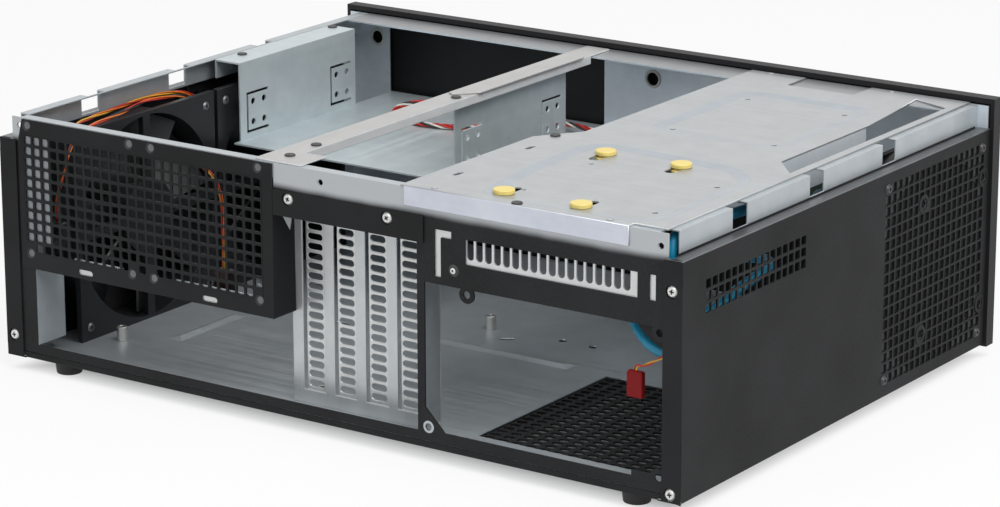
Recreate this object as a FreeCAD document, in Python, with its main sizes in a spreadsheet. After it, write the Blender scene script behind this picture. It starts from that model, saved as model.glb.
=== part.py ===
import FreeCAD, Part
import math
import os
import re

# Low desktop computer case with its top cover off, in millimetres.
# +X is the left side as seen from behind, +Y points to the rear, +Z is up.
# The origin lies on the floor under the middle of the case.

doc = FreeCAD.newDocument("desktop_case")
dims = doc.addObject("Spreadsheet::Sheet", "dims")

# Driving dimensions
SIZES = {
    # sheet steel and general clearances
    "sheet": 1.0, "slip": 0.2,
    # what stands side by side along the rear sets the width of the body
    "side_margin": 22.0, "io_width": 165.0, "slot_zone": 91.0, "psu_bar": 4.7, "psu_width": 142.8,
    "psu_margin": 10.5,
    # depth, and what stands on top of what sets the height
    "case_depth": 325.0, "foot_height": 8.0, "fan_headroom": 1.5, "lid_step": 12.5,
    # bezel
    "bezel_overhang": 2.0, "bezel_depth": 8.0, "bezel_rise": 3.8, "bezel_drop": 1.0, "bezel_wall": 3.0,
    # side panels and top rails
    "side_flange": 13.0, "flange_right": 10.5, "rail_inset": 7.5, "rail_width": 6.5, "notch_width": 14.0,
    "notch_pitch": 75.5, "notch_middle": 21.5, "notch_sill": 1.2, "rail_gap": 7.3, "rail_clear": 8.8,
    # base tray
    "tray_hem": 3.5, "rib_height": 1.2, "rib_width": 6.0, "vent_side": 120.0, "vent_from_rear": 26.5,
    "vent_from_bar": 15.3, "vent_lap": 3.0, "left_rib_in": 45.0, "left_rib_rear": 68.0, "left_rib_long": 54.0,
    "middle_rib_rear": 151.0, "middle_rib_right": 6.0, "middle_rib_left": 3.0,
    # rear panel
    "io_sill": 6.5, "io_height": 43.5, "io_depth": 21.5, "rear_rail": 8.0, "rail_flange": 5.5,
    "slot_head": 26.0, "slot_recess": 17.5, "psu_sill": 7.7, "psu_height": 78.4, "psu_pitch": 138.0,
    "psu_step": 24.0, "psu_rise": 74.0, "psu_hole_x": 2.0, "psu_hole_z": 9.4, "psu_hole": 2.0,
    "psu_lobe": 4.6, "psu_corner": 12.0, "psu_toe": 18.5, "toe_rise": 3.0,
    "strip_offset": 25.0, "strip_width": 102.0, "strip_drop": 35.1, "strip_height": 13.2, "strip_pitch": 5.45,
    "strip_slot": 4.15, "strip_margin": 3.9, "strip_sill": 2.4, "strip_right": 4.0, "strip_left": 3.0,
    "strip_below": 2.0, "strip_above": 6.0, "latch_offset": 6.2, "latch_leg": 4.0, "latch_arm": 10.5,
    "latch_low": 3.7, "latch_rise": 2.6, "slit_in": 5.3, "slit_wide": 3.8,
    # rear fan grille
    "pan_depth": 18.0, "pan_drop": 0.6, "rear_fan_pitch": 71.5, "rear_fan_hole": 2.2, "rear_fan_edge": 2.3,
    "rear_fan_side": 8.7, "rear_fan_apart": 86.4, "mesh_right": 7.0, "mesh_left": 5.0, "mesh_low": 11.5,
    "mesh_high": 8.0, "mesh_bar": 3.0,
    # expansion slots
    "slot_first": 11.0, "slot_pitch": 20.32, "slot_window": 14.0, "slot_foot": 7.7, "slot_cap": 2.0,
    "cover_width": 18.0, "cover_hole": 9.7, "cover_gap": 3.6, "cover_pitch": 5.3, "cover_tab": 13.0,
    "clamp_lap": 1.5, "clamp_rise": 12.5, "clamp_screw_z": 8.0, "clamp_screw_left": 10.0,
    "clamp_screw_right": 18.0, "cover_rise": 4.0, "slot_lap": 3.0,
    # front wall and drive bay
    "front_flange": 20.5, "fan_gap": 6.0, "bay_width": 150.0, "bay_height": 47.0, "bay_side": 110.0,
    "bay_front_gap": 38.5, "bay_floor": 153.5, "bay_flange": 17.0, "bay_lip": 11.0, "bay_margin": 2.5,
    "tab_long": 20.0, "tab_tall": 24.0, "tab_slit": 1.6, "tab_hole": 1.9, "tab_edge": 6.0, "tab_pitch": 10.0,
    "tab_rise": 4.5, "tab_apart": 79.5, "wall_hole": 4.0, "column_hole_in": 10.5, "wall_hole_in": 36.0,
    "wall_hole_drop": 13.5,
    # beam over the bay, strap on it
    "beam_width": 15.5, "beam_lip": 4.3, "beam_foot": 22.0, "beam_front": 2.0, "strap_width": 15.0,
    "strap_length": 115.0, "strap_in": 9.5, "strap_front": 31.5, "strap_point": 4.0, "strap_slope": 12.0,
    # drive plate
    "plate_width": 155.0, "plate_edge": 12.0, "plate_step": 17.0, "plate_long": 128.0, "plate_flange": 9.5,
    "plate_corner": 19.0, "plate_notch": 22.0, "plate_tab": 35.0, "notch_span": 42.0, "cut_wide": 20.0,
    "cut_from_rear": 128.5, "cut_long": 177.0, "flap_long": 89.0, "flap_drop": 20.0, "press_depth": 1.0,
    "cut_edge": 4.5, "cut_slope": 18.0, "cut_toe": 8.0, "cut_heel": 10.0, "field_in": 37.0, "field_rear": 8.5,
    "field_right": 20.0, "field_left": 24.0, "field_front": 46.0, "field_apart": 40.0,
    "grommet_x": 46.0, "grommet_y": 93.0, "grommet_in": 50.5, "grommet_rear": 18.5, "grommet_neck": 3.9,
    "grommet_lip": 5.6, "grommet_rise": 2.4, "grommet_foot": 1.5,
    # fans
    "fan_size": 120.0, "fan_depth": 25.0, "fan_bore": 58.0, "fan_pitch": 105.0, "fan_hole": 2.15,
    "fan_rear_gap": 32.5, "fan_apart": 123.0, "fan_front_gap": 0.5, "fan_hub": 20.0, "fan_tip": 56.3,
    "fan_plate": 3.5, "fan_pin": 1.5, "pin_clearance": 0.05, "duct_wall": 1.8, "strut_wide": 6.0,
    "filter_in": 1.2, "filter_thick": 0.8,
    "hub_gap": 0.5, "hub_in": 2.0, "blade_count": 7, "blade_thick": 1.6, "blade_end": 60.0,
    "root_wide": 22.0, "root_lean": 42.0, "tip_wide": 46.0, "tip_lean": 22.0,
    "guard_side": 107.0, "guard_bar": 5.0, "fan_screw": 3.4, "screw_rise": 1.2,
    "side_vent_long": 97.6, "side_vent_tall": 18.4, "side_vent_from_rear": 21.0, "side_vent_top": 13.2,
    "side_vent_bar": 2.0, "side_vent_rib": 1.2,
    # fasteners, feet and standoffs
    "rear_screw": 3.2, "screw_clear": 0.3, "screw_in_left": 6.5, "screw_in_right": 6.2, "screw_left_z": 10.0,
    "screw_low_z": 2.2, "screw_high_drop": 28.4, "lone_screw_x": 18.1, "lone_screw_z": 8.7,
    "foot_radius": 8.0, "foot_taper": 1.0, "foot_x": 33.0,
    "foot_rear": 13.0, "foot_front": 19.0, "standoff_radius": 3.0, "standoff_hole": 1.5,
    "standoff_height": 8.0,
    "board_x": 18.0, "board_y": 50.0, "board_pitch_x": 157.48, "board_pitch_y": 132.08, "board_step": 22.86,
    # front board, ports and buttons
    "board_left": 228.0, "board_wide": 150.0, "board_low": 56.0, "board_tall": 28.0, "board_thick": 1.6,
    "board_lap": 4.0, "header_usb": 5.0, "header_panel": 4.0, "header_deep": 6.0, "header_in": 8.0,
    "header_drop": 6.0, "power_in": 30.0, "power_radius": 7.0, "reset_in": 55.0, "reset_radius": 3.0,
    "button_clear": 0.25, "button_flange": 1.6, "button_plate": 1.3, "switch_side": 6.0, "switch_tall": 3.0,
    "lens_in": 43.0, "lens_radius": 1.5, "jack_in": 75.0, "jack_pitch": 15.0, "jack_radius": 4.0,
    "jack_hole": 1.75, "usb_in": 110.0, "usb_pitch": 20.0, "usb_wide": 14.5, "usb_tall": 7.0, "usb_wall": 0.8,
    "tongue_in": 1.6, "tongue_thick": 1.8, "port_in": 0.5, "lens_flange": 0.8,
    # leads
    "fan_lead": 2.2, "usb_cable": 5.6, "switch_lead": 1.8, "panel_lead": 3.2, "plug_chamfer": 0.8,
}
for row, (alias, value) in enumerate(SIZES.items(), 1):
    dims.set(f"A{row}", alias)
    dims.set(f"B{row}", str(value))
    dims.setAlias(f"B{row}", alias)
doc.recompute()

# Faces that several pieces share, as expressions of the driving dimensions
BODY = "(side_margin + io_width + slot_zone + psu_bar + psu_width + psu_margin)"
LEFT = f"({BODY} / 2)"
RIGHT = f"(-{BODY} / 2)"
WALL = f"({LEFT} - sheet)"
INNER = f"({LEFT} - sheet - slip)"
IO_L = f"({LEFT} - side_margin)"
IO_R = f"({IO_L} - io_width)"
SLOT_R = f"({IO_R} - slot_zone)"
PSU_L = f"({SLOT_R} - psu_bar)"
PSU_R = f"({PSU_L} - psu_width)"
BACK = "(case_depth / 2)"
SKIN = "(case_depth / 2 - sheet)"
PANEL = "(case_depth / 2 - 2 * sheet)"
SLOT_Y = f"({PANEL} - slot_recess)"
NOSE = "(-case_depth / 2)"
BEZEL_Y = "(bezel_depth - case_depth / 2)"
WALL_Y = "(bezel_depth + sheet - case_depth / 2)"
TRAY = "(foot_height + sheet)"
FLOOR = "(foot_height + 2 * sheet)"
SIDE_TOP = f"({FLOOR} + fan_size + fan_headroom)"
RAIL_TOP = f"({SIDE_TOP} + lid_step)"
BEZEL_TOP = f"({RAIL_TOP} + bezel_rise)"
IO_LOW = f"({FLOOR} + io_sill)"
IO_TOP = f"({IO_LOW} + io_height)"
SLOT_TOP = f"({RAIL_TOP} - slot_head)"
PSU_LOW = f"({FLOOR} + psu_sill)"
PSU_TOP = f"({PSU_LOW} + psu_height)"
RAIL_IN = f"({LEFT} - rail_inset - rail_width)"
CAGE_L = f"({WALL} - fan_depth - fan_gap)"
BAY_R = f"({CAGE_L} - sheet - bay_width)"
BAY_Z = f"({RAIL_TOP} - bay_height)"
PLATE_R = f"({RIGHT} + plate_edge)"
PLATE_L = f"({PLATE_R} + plate_width)"
STEP_L = f"({PLATE_L} - plate_step)"

nodes = []


def bound(text):
    """Write an expression so that each alias points at its cell in the sheet."""
    return re.sub(r"[a-z_]{3,}", lambda word: "dims." + word.group(0), text)


def number(text):
    """Work out an expression of the driving dimensions as a plain number."""
    return float(dims.evalExpression(bound(text)))


def box(name, x, y, z):
    """A block between two corners: x, y and z each give a low and a high expression."""
    block = doc.addObject("Part::Box", name)
    for side, letter, (low, high) in zip(("Length", "Width", "Height"), "xyz", (x, y, z)):
        block.setExpression(side, bound(f"({high}) - ({low})"))
        block.setExpression(f"Placement.Base.{letter}", bound(low))
    return block


TURNS = {
    "X": FreeCAD.Rotation(FreeCAD.Vector(0, 1, 0), 90),
    "Y": FreeCAD.Rotation(FreeCAD.Vector(1, 0, 0), -90),
    "Z": FreeCAD.Rotation(),
}


def rod(name, axis, start, radius, length):
    """A round bar from a starting point along +X, +Y or +Z."""
    bar = doc.addObject("Part::Cylinder", name)
    bar.Placement = FreeCAD.Placement(FreeCAD.Vector(), TURNS[axis])
    bar.setExpression("Radius", bound(radius))
    bar.setExpression("Height", bound(length))
    for letter, place in zip("xyz", start):
        bar.setExpression(f"Placement.Base.{letter}", bound(place))
    return bar


def fuse(name, pieces):
    """Join pieces of one sheet into one solid."""
    joined = doc.addObject("Part::MultiFuse", name)
    joined.Shapes = pieces
    joined.Refine = True
    return joined


def cut(name, base, tools):
    """Take tools away from a base."""
    made = doc.addObject("Part::Cut", name)
    made.Base = base
    made.Tool = tools[0] if len(tools) == 1 else fuse(f"{name}_tools", tools)
    made.Refine = True
    return made


def group(name, pieces):
    """Keep like pieces together as separate solids."""
    kept = doc.addObject("Part::Compound", name)
    kept.Links = pieces
    return kept


def shaped(name, shape):
    """Hold a shape that no primitive or boolean gives, worked out from the sheet's values."""
    held = doc.addObject("Part::Feature", name)
    held.Shape = shape
    return held


def node(label, made):
    """Name a finished sub-part, which names its file too."""
    made.Label = label
    nodes.append(made)
    return made


def grid(name, axis, across, upward, depth, wide, tall):
    """Holes in rows through a sheet: the centres across and upward, the depth range and the hole's sides."""
    holes = []
    for u in across:
        for w in upward:
            low = {"X": (depth[0], u - wide / 2, w - tall / 2), "Y": (u - wide / 2, depth[0], w - tall / 2),
                   "Z": (u - wide / 2, w - tall / 2, depth[0])}[axis]
            thick = depth[1] - depth[0]
            sides = {"X": (thick, wide, tall), "Y": (wide, thick, tall), "Z": (wide, tall, thick)}[axis]
            holes.append(Part.makeBox(*sides, FreeCAD.Vector(*low)))
    return shaped(name, Part.makeCompound(holes))


def spread(low, high, count):
    """The middles of a number of equal steps between two ends."""
    step = (high - low) / count
    return [low + step * (index + 0.5) for index in range(count)]


# Base tray: one sheet with a rear hem, two stamped ribs and the power-supply air opening
vent_x = (f"{PSU_L} - vent_from_bar - vent_side", f"{PSU_L} - vent_from_bar")
vent_y = (f"{BACK} - vent_from_rear - vent_side", f"{BACK} - vent_from_rear")
tray_sheet = fuse("tray_sheet", [
    box("tray_floor", (f"-{INNER}", INNER), (WALL_Y, PANEL), (TRAY, FLOOR)),
    box("tray_hem_strip", (f"flange_right + slip - {LEFT}", f"{LEFT} - side_flange - slip"), (PANEL, SKIN),
        ("foot_height", "foot_height + tray_hem")),
    box("tray_rib_left", (f"{IO_L} - left_rib_in", f"{IO_L} - left_rib_in + rib_width"),
        (f"{BACK} - left_rib_rear - left_rib_long", f"{BACK} - left_rib_rear"),
        (FLOOR, f"{FLOOR} + rib_height")),
    box("tray_rib_middle", (f"{SLOT_R} + middle_rib_right", f"{IO_R} + middle_rib_left"),
        (f"{BACK} - middle_rib_rear", f"{BACK} - middle_rib_rear + rib_width"),
        (FLOOR, f"{FLOOR} + rib_height")),
])
tray_vent = box("tray_vent", vent_x, vent_y, ("foot_height", f"{FLOOR} + sheet"))
node("base_tray", cut("base_tray", tray_sheet, [tray_vent]))

# Perforated plate under that opening
grille_x = (f"{vent_x[0]} - vent_lap", f"{vent_x[1]} + vent_lap")
grille_y = (f"{vent_y[0]} - vent_lap", f"{vent_y[1]} + vent_lap")
grille_plate = box("grille_plate", grille_x, grille_y, ("foot_height", TRAY))
air_x = spread(number(vent_x[0]), number(vent_x[1]), 7)
air_y = spread(number(vent_y[0]), number(vent_y[1]), 7)
air_side = number("vent_side") / 7 - number("guard_bar")
air_depth = (number("foot_height") - 1, number(TRAY) + 1)
air_holes = grid("air_holes", "Z", air_x, air_y, air_depth, air_side, air_side)
node("psu_vent_grille", cut("psu_vent_grille", grille_plate, [air_holes]))

# Rear panel: one stamped sheet with a top flange and the returns of its recess
STRIP_LOW = f"({RAIL_TOP} - strip_drop)"
STRIP_TOP = f"({STRIP_LOW} + strip_height)"
through = (f"{PANEL} - 1", f"{SKIN} + 1")
hole_left = f"({PSU_L} - psu_hole_x)"
hole_low = f"({FLOOR} + psu_hole_z)"
psu_holes = [
    (hole_left, hole_low), (f"({hole_left} - psu_pitch)", hole_low),
    (f"({hole_left} - psu_step)", f"({hole_low} + psu_rise)"),
    (f"({hole_left} - psu_pitch)", f"({hole_low} + psu_rise)"),
]
rear_sheet = fuse("rear_sheet", [
    box("rear_plate", (f"-{INNER}", INNER), (PANEL, SKIN), ("foot_height + tray_hem + slip", SIDE_TOP)),
    box("rear_head", (f"rail_clear - {LEFT}", f"{LEFT} - rail_clear"), (PANEL, SKIN), (SIDE_TOP, RAIL_TOP)),
    box("rear_flange", (f"slip - {RAIL_IN}", f"{RAIL_IN} - slip"), (f"{PANEL} - rail_flange", PANEL),
        (f"{RAIL_TOP} - sheet", RAIL_TOP)),
    box("io_return", (IO_L, f"{IO_L} + sheet"), (f"{PANEL} - io_depth", PANEL), (IO_LOW, IO_TOP)),
    box("slot_return", (f"{SLOT_R} - sheet", SLOT_R), (SLOT_Y, PANEL), (IO_LOW, SLOT_TOP)),
])
psu_block = box("psu_block", (PSU_R, PSU_L), through, (PSU_LOW, PSU_TOP))
corner_x = number(PSU_L)
corner_z = number(PSU_LOW)
corner_size = number("psu_corner")
corner_face = Part.Face(Part.makePolygon([
    FreeCAD.Vector(corner_x, 0, corner_z), FreeCAD.Vector(corner_x - corner_size, 0, corner_z),
    FreeCAD.Vector(corner_x, 0, corner_z + corner_size), FreeCAD.Vector(corner_x, 0, corner_z)]))
corner_block = corner_face.extrude(FreeCAD.Vector(0, number("case_depth"), 0))
lobes = [
    shaped("psu_corner_block", corner_block),
    box("psu_toe_block", (PSU_R, f"{PSU_R} + psu_toe"), through, (PSU_LOW, f"{PSU_LOW} + toe_rise")),
]
for index, (x, z) in enumerate(psu_holes[1:], 2):
    lobes.append(rod(f"psu_lobe_{index}", "Y", (x, f"{PANEL} - 2", z), "psu_lobe", "sheet + 4"))
psu_opening = cut("psu_opening", psu_block, lobes)
rear_cuts = [
    box("rear_fan_zone", (f"{IO_R} - slip", IO_L), through, (IO_LOW, f"{RAIL_TOP} - rear_rail")),
    box("rear_slot_zone", (SLOT_R, f"{IO_R} + 1"), through, (IO_LOW, SLOT_TOP)),
    psu_opening,
    box("strip_window", (f"{PSU_L} - strip_offset - strip_width", f"{PSU_L} - strip_offset"), through,
        (STRIP_LOW, STRIP_TOP)),
    box("latch_leg_cut", (f"{PSU_L} - latch_offset - latch_leg", f"{PSU_L} - latch_offset"), through,
        (f"{PSU_TOP} + latch_low", f"{STRIP_TOP} + latch_rise")),
    box("latch_arm_cut", (f"{PSU_L} - latch_offset - latch_arm", f"{PSU_L} - latch_offset"), through,
        (f"{STRIP_TOP} + latch_rise - latch_leg", f"{STRIP_TOP} + latch_rise")),
    box("side_slit", (f"{PSU_R} + slit_in", f"{PSU_R} + slit_in + slit_wide"), through,
        (STRIP_LOW, STRIP_TOP)),
]
for index, (x, z) in enumerate(psu_holes, 1):
    rear_cuts.append(rod(f"psu_hole_{index}", "Y", (x, f"{PANEL} - 1", z), "psu_hole", "sheet + 2"))
node("rear_panel", cut("rear_panel", rear_sheet, rear_cuts))

# Strip with upright slots behind the window over the power supply
strip_sheet = box("strip_sheet", (f"{PSU_R} + strip_right", f"{PSU_L} - strip_left"),
                  (f"{PANEL} - sheet", PANEL), (f"{PSU_TOP} + strip_below", f"{STRIP_TOP} + strip_above"))
strip_holes = []
strip_y = number(PANEL) - number("sheet") - 1
strip_half = number("strip_slot") / 2
strip_end = number(f"{PSU_L} - strip_offset")
strip_run = number("strip_width - strip_margin")
strip_count = round(strip_run / number("strip_pitch"))
for x in spread(strip_end - strip_run, strip_end, strip_count):
    low = number(f"{STRIP_LOW} + strip_sill") + strip_half
    high = number(STRIP_TOP) + 2
    slot = Part.makeBox(2 * strip_half, 3, high - low, FreeCAD.Vector(x - strip_half, strip_y, low))
    end = Part.makeCylinder(strip_half, 3, FreeCAD.Vector(x, strip_y, low), FreeCAD.Vector(0, 1, 0))
    strip_holes.append(slot.fuse(end))
node("vent_strip", cut("vent_strip", strip_sheet, [shaped("strip_holes", Part.makeCompound(strip_holes))]))

# Rear fan grille: a pan that carries two small fans, square holes between their screw holes
pan_sheet = fuse("pan_sheet", [
    box("pan_plate", (IO_R, f"{LEFT} - side_flange - slip"), (SKIN, BACK),
        (IO_TOP, f"{RAIL_TOP} - pan_drop")),
    box("pan_right", (IO_R, f"{IO_R} + sheet"), (f"{SKIN} - pan_depth", SKIN),
        (IO_TOP, f"{RAIL_TOP} - rear_rail - slip")),
    box("pan_under", (IO_R, f"{IO_L} - slip"), (f"{SKIN} - pan_depth", SKIN), (IO_TOP, f"{IO_TOP} + sheet")),
])
mesh_x = spread(number(f"{IO_R} + mesh_right"), number(f"{IO_L} + mesh_left"), 14)
mesh_z = spread(number(f"{IO_TOP} + mesh_low"), number(f"{RAIL_TOP} - pan_drop - mesh_high"), 5)
mesh_wide = mesh_x[1] - mesh_x[0] - number("mesh_bar")
mesh_tall = mesh_z[1] - mesh_z[0] - number("mesh_bar")
mesh_depth = (number(SKIN) - 0.5, number(BACK) + 1)
mesh_holes = grid("mesh_holes", "Y", mesh_x, mesh_z, mesh_depth, mesh_wide, mesh_tall)
pan_cuts = [mesh_holes]
for fan in range(2):
    for column in range(2):
        for level in range(2):
            x = f"{IO_L} + rear_fan_edge - {fan} * rear_fan_apart - {column} * rear_fan_pitch"
            z = f"{IO_TOP} + rear_fan_side + {level} * rear_fan_pitch"
            pan_cuts.append(rod(f"rear_fan_hole_{fan}{column}{level}", "Y", (x, f"{SKIN} - 0.5", z),
                                "rear_fan_hole", "sheet + 2"))
node("rear_fan_grille", cut("rear_fan_grille", pan_sheet, pan_cuts))

# Slot panel at the bottom of the recess, with a flange that the covers hang on
slot_middles = [f"({IO_R} - slot_first - {index} * slot_pitch)" for index in range(4)]
COVER_TOP = f"({SLOT_TOP} + cover_rise)"
slot_sheet = fuse("slot_sheet", [
    box("slot_plate", (f"{SLOT_R} - sheet", f"{IO_R} + slot_lap"), (f"{SLOT_Y} - sheet", SLOT_Y),
        (FLOOR, COVER_TOP)),
    box("slot_flange", (SLOT_R, f"{IO_R} - slip"), (SLOT_Y, PANEL), (f"{COVER_TOP} - sheet", COVER_TOP)),
])
slot_windows = []
for index, middle in enumerate(slot_middles, 1):
    slot_windows.append(box(f"slot_window_{index}",
                            (f"{middle} - slot_window / 2", f"{middle} + slot_window / 2"),
                            (f"{SLOT_Y} - 3", f"{SLOT_Y} + 3"),
                            (f"{FLOOR} + slot_foot", f"{SLOT_TOP} - slot_cap")))
node("slot_panel", cut("slot_panel", slot_sheet, slot_windows))


def round_slots(name, x, levels, depth, wide, tall):
    """Round-ended slots one above another, through a sheet that faces the rear."""
    slots = []
    run = wide - tall
    thick = depth[1] - depth[0]
    for z in levels:
        bar = Part.makeBox(run, thick, tall, FreeCAD.Vector(x - run / 2, depth[0], z - tall / 2))
        ends = []
        for end in (-run / 2, run / 2):
            start = FreeCAD.Vector(x + end, depth[0], z)
            ends.append(Part.makeCylinder(tall / 2, thick, start, FreeCAD.Vector(0, 1, 0)))
        slots.append(bar.multiFuse(ends))
    return shaped(name, Part.makeCompound(slots))


# Slot covers: slotted strips behind the windows, each hung by its top tab
for index, middle in enumerate(slot_middles, 1):
    cover_sheet = fuse(f"cover_sheet_{index}", [
        box(f"cover_strip_{index}", (f"{middle} - cover_width / 2", f"{middle} + cover_width / 2"),
            (f"{SLOT_Y} - 2 * sheet", f"{SLOT_Y} - sheet"),
            (f"{FLOOR} + slot_foot / 2", f"{COVER_TOP} + sheet")),
        box(f"cover_tab_{index}", (f"{middle} - cover_width / 2", f"{middle} + cover_width / 2"),
            (f"{SLOT_Y} - 2 * sheet", f"{SLOT_Y} + cover_tab"), (COVER_TOP, f"{COVER_TOP} + sheet")),
    ])
    low = number(f"{FLOOR} + slot_foot") + 1
    high = number(f"{SLOT_TOP} - slot_cap") - 1
    levels = spread(low, high, int((high - low) / number("cover_pitch")))
    cover_y = (number(SLOT_Y) - 3, number(SLOT_Y) - 0.5)
    slots = round_slots(f"cover_slots_{index}", number(middle), levels, cover_y, number("cover_hole"),
                        number("cover_gap"))
    node(f"slot_cover_{index}", cut(f"slot_cover_{index}", cover_sheet, [slots]))

# Card clamp: a strip screwed over the heads of the slots
clamp_strip = box("clamp_strip", (PSU_L, f"{IO_R} - slip"), (SKIN, BACK),
                  (f"{SLOT_TOP} - clamp_lap", f"{SLOT_TOP} + clamp_rise"))
CLAMP_Z = f"({SLOT_TOP} + clamp_screw_z)"
clamp_screws = [f"({IO_R} - clamp_screw_left)", f"({SLOT_R} + clamp_screw_right)"]
clamp_holes = []
for index, x in enumerate(clamp_screws, 1):
    clamp_holes.append(rod(f"clamp_hole_{index}", "Y", (x, f"{SKIN} - 1", CLAMP_Z),
                           "rear_screw + screw_clear",
                           "sheet + 2"))
node("card_clamp", cut("card_clamp", clamp_strip, clamp_holes))

# Fan places: along the left wall from the rear, and at the front of the right wall
FAN_Z = f"({FLOOR} + fan_size / 2)"
FAN_Y = [f"({BACK} - fan_rear_gap - fan_size / 2)", f"({BACK} - fan_rear_gap - fan_size / 2 - fan_apart)",
         f"({WALL_Y} + fan_front_gap + fan_size / 2)"]
FAN_SIDE = [1, 1, -1]
side_screws = {
    1: [f"({FLOOR} + screw_left_z)"],
    -1: [f"({FLOOR} + screw_low_z)", f"({RAIL_TOP} - screw_high_drop)"],
}
SCREW_X = {1: f"({LEFT} - screw_in_left)", -1: f"(screw_in_right - {LEFT})"}
flange_wide = {1: "side_flange", -1: "flange_right"}


def sided(side, low, high):
    """An X range on the left wall, mirrored for the right wall."""
    return (low, high) if side > 0 else (f"-({high})", f"-({low})")


# Side panels: wall, rear flange, top ledge, bottom flange and punched air holes
for side, word in ((1, "left"), (-1, "right")):
    panel_sheet = fuse(f"{word}_sheet", [
        box(f"{word}_wall", sided(side, WALL, LEFT), (BEZEL_Y, BACK), ("foot_height", SIDE_TOP)),
        box(f"{word}_rear", sided(side, f"{LEFT} - {flange_wide[side]}", WALL), (SKIN, BACK),
            ("foot_height", SIDE_TOP)),
        box(f"{word}_ledge", sided(side, f"{LEFT} - rail_inset", WALL), (WALL_Y, PANEL),
            (f"{SIDE_TOP} - sheet", SIDE_TOP)),
        box(f"{word}_under", sided(side, f"{LEFT} - side_flange", WALL), (WALL_Y, PANEL),
            ("foot_height", TRAY)),
    ])
    wall_x = sorted((side * (number(WALL) - 0.5), side * (number(LEFT) + 0.5)))
    panel_cuts = []
    for index in range(3):
        if FAN_SIDE[index] == side:
            half = number("guard_side") / 2
            along = spread(number(FAN_Y[index]) - half, number(FAN_Y[index]) + half, 7)
            upward = spread(number(FAN_Z) - half, number(FAN_Z) + half, 7)
            hole = 2 * half / 7 - number("guard_bar")
            panel_cuts.append(grid(f"{word}_guard_{index}", "X", along, upward, wall_x, hole, hole))
    if side < 0:
        vent_rear = number(f"{BACK} - side_vent_from_rear")
        along = spread(vent_rear - number("side_vent_long"), vent_rear, 12)
        vent_top = number(f"{SIDE_TOP} - side_vent_top")
        upward = spread(vent_top - number("side_vent_tall"), vent_top, 3)
        tall = number("side_vent_tall") / 3 - number("side_vent_rib")
        wide = along[1] - along[0] - number("side_vent_bar")
        panel_cuts.append(grid("right_vent", "X", along, upward, wall_x, wide, tall))
    for index, level in enumerate(side_screws[side], 1):
        panel_cuts.append(rod(f"{word}_screw_hole_{index}", "Y", (SCREW_X[side], f"{SKIN} - 0.5", level),
                              "rear_screw + screw_clear", "sheet + 2"))
    node(f"side_panel_{word}", cut(f"side_panel_{word}", panel_sheet, panel_cuts))

# Top rails: upright web with an inward flange, notched for the hooks of the cover, short of the rear panel
rail_y = (WALL_Y, f"{PANEL} - rail_gap")
for side, word in ((1, "left"), (-1, "right")):
    rail_sheet = fuse(f"{word}_rail_sheet", [
        box(f"{word}_web", sided(side, f"{LEFT} - rail_inset - sheet", f"{LEFT} - rail_inset"), rail_y,
            (f"{SIDE_TOP} - sheet / 2", RAIL_TOP)),
        box(f"{word}_rail_flange", sided(side, RAIL_IN, f"{LEFT} - rail_inset"), rail_y,
            (f"{RAIL_TOP} - sheet", RAIL_TOP)),
    ])
    notches = []
    for index in (-1, 0, 1):
        middle = f"(notch_middle + {index} * notch_pitch)"
        notches.append(box(f"{word}_notch_{index + 2}",
                           sided(side, f"{RAIL_IN} + sheet", f"{LEFT} - rail_inset + 1"),
                           (f"{middle} - notch_width / 2", f"{middle} + notch_width / 2"),
                           (f"{SIDE_TOP} + notch_sill", f"{RAIL_TOP} + 1")))
    node(f"top_rail_{word}", cut(f"top_rail_{word}", rail_sheet, notches))

# Front chassis: wall behind the bezel with the drive opening, the board window and a top flange
BOARD_L = f"({LEFT} - board_left)"
BOARD_R = f"({BOARD_L} - board_wide)"
BOARD_Z = f"({FLOOR} + board_low)"
front_sheet = fuse("front_sheet", [
    box("front_plate", (f"-{INNER}", INNER), (BEZEL_Y, WALL_Y), (TRAY, RAIL_TOP)),
    box("front_top", (f"slip - {RAIL_IN}", f"{RAIL_IN} - slip"), (WALL_Y, f"{WALL_Y} + front_flange"),
        (f"{RAIL_TOP} - sheet", RAIL_TOP)),
])
front_through = (f"{BEZEL_Y} - 1", f"{WALL_Y} + 0.5")
bay_x = (f"{BAY_R} - bay_margin", f"{CAGE_L} - sheet + bay_margin")
bay_z = (f"{BAY_Z} + sheet", f"{RAIL_TOP} - bay_margin")
front_cuts = [
    box("bay_opening", bay_x, front_through, bay_z),
    box("board_window", (f"{BOARD_R} + board_lap", f"{BOARD_L} - board_lap"), front_through,
        (f"{BOARD_Z} + board_lap", f"{BOARD_Z} + board_tall - board_lap")),
    rod("column_bore", "Y", (f"{CAGE_L} + column_hole_in", f"{BEZEL_Y} - 1", f"{RAIL_TOP} - wall_hole_drop"),
        "wall_hole", "sheet + 2"),
    rod("wall_bore", "Y", (f"{BAY_R} - wall_hole_in", f"{BEZEL_Y} - 1", f"{RAIL_TOP} - wall_hole_drop"),
        "wall_hole", "sheet + 2"),
]
node("front_chassis", cut("front_chassis", front_sheet, front_cuts))

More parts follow.
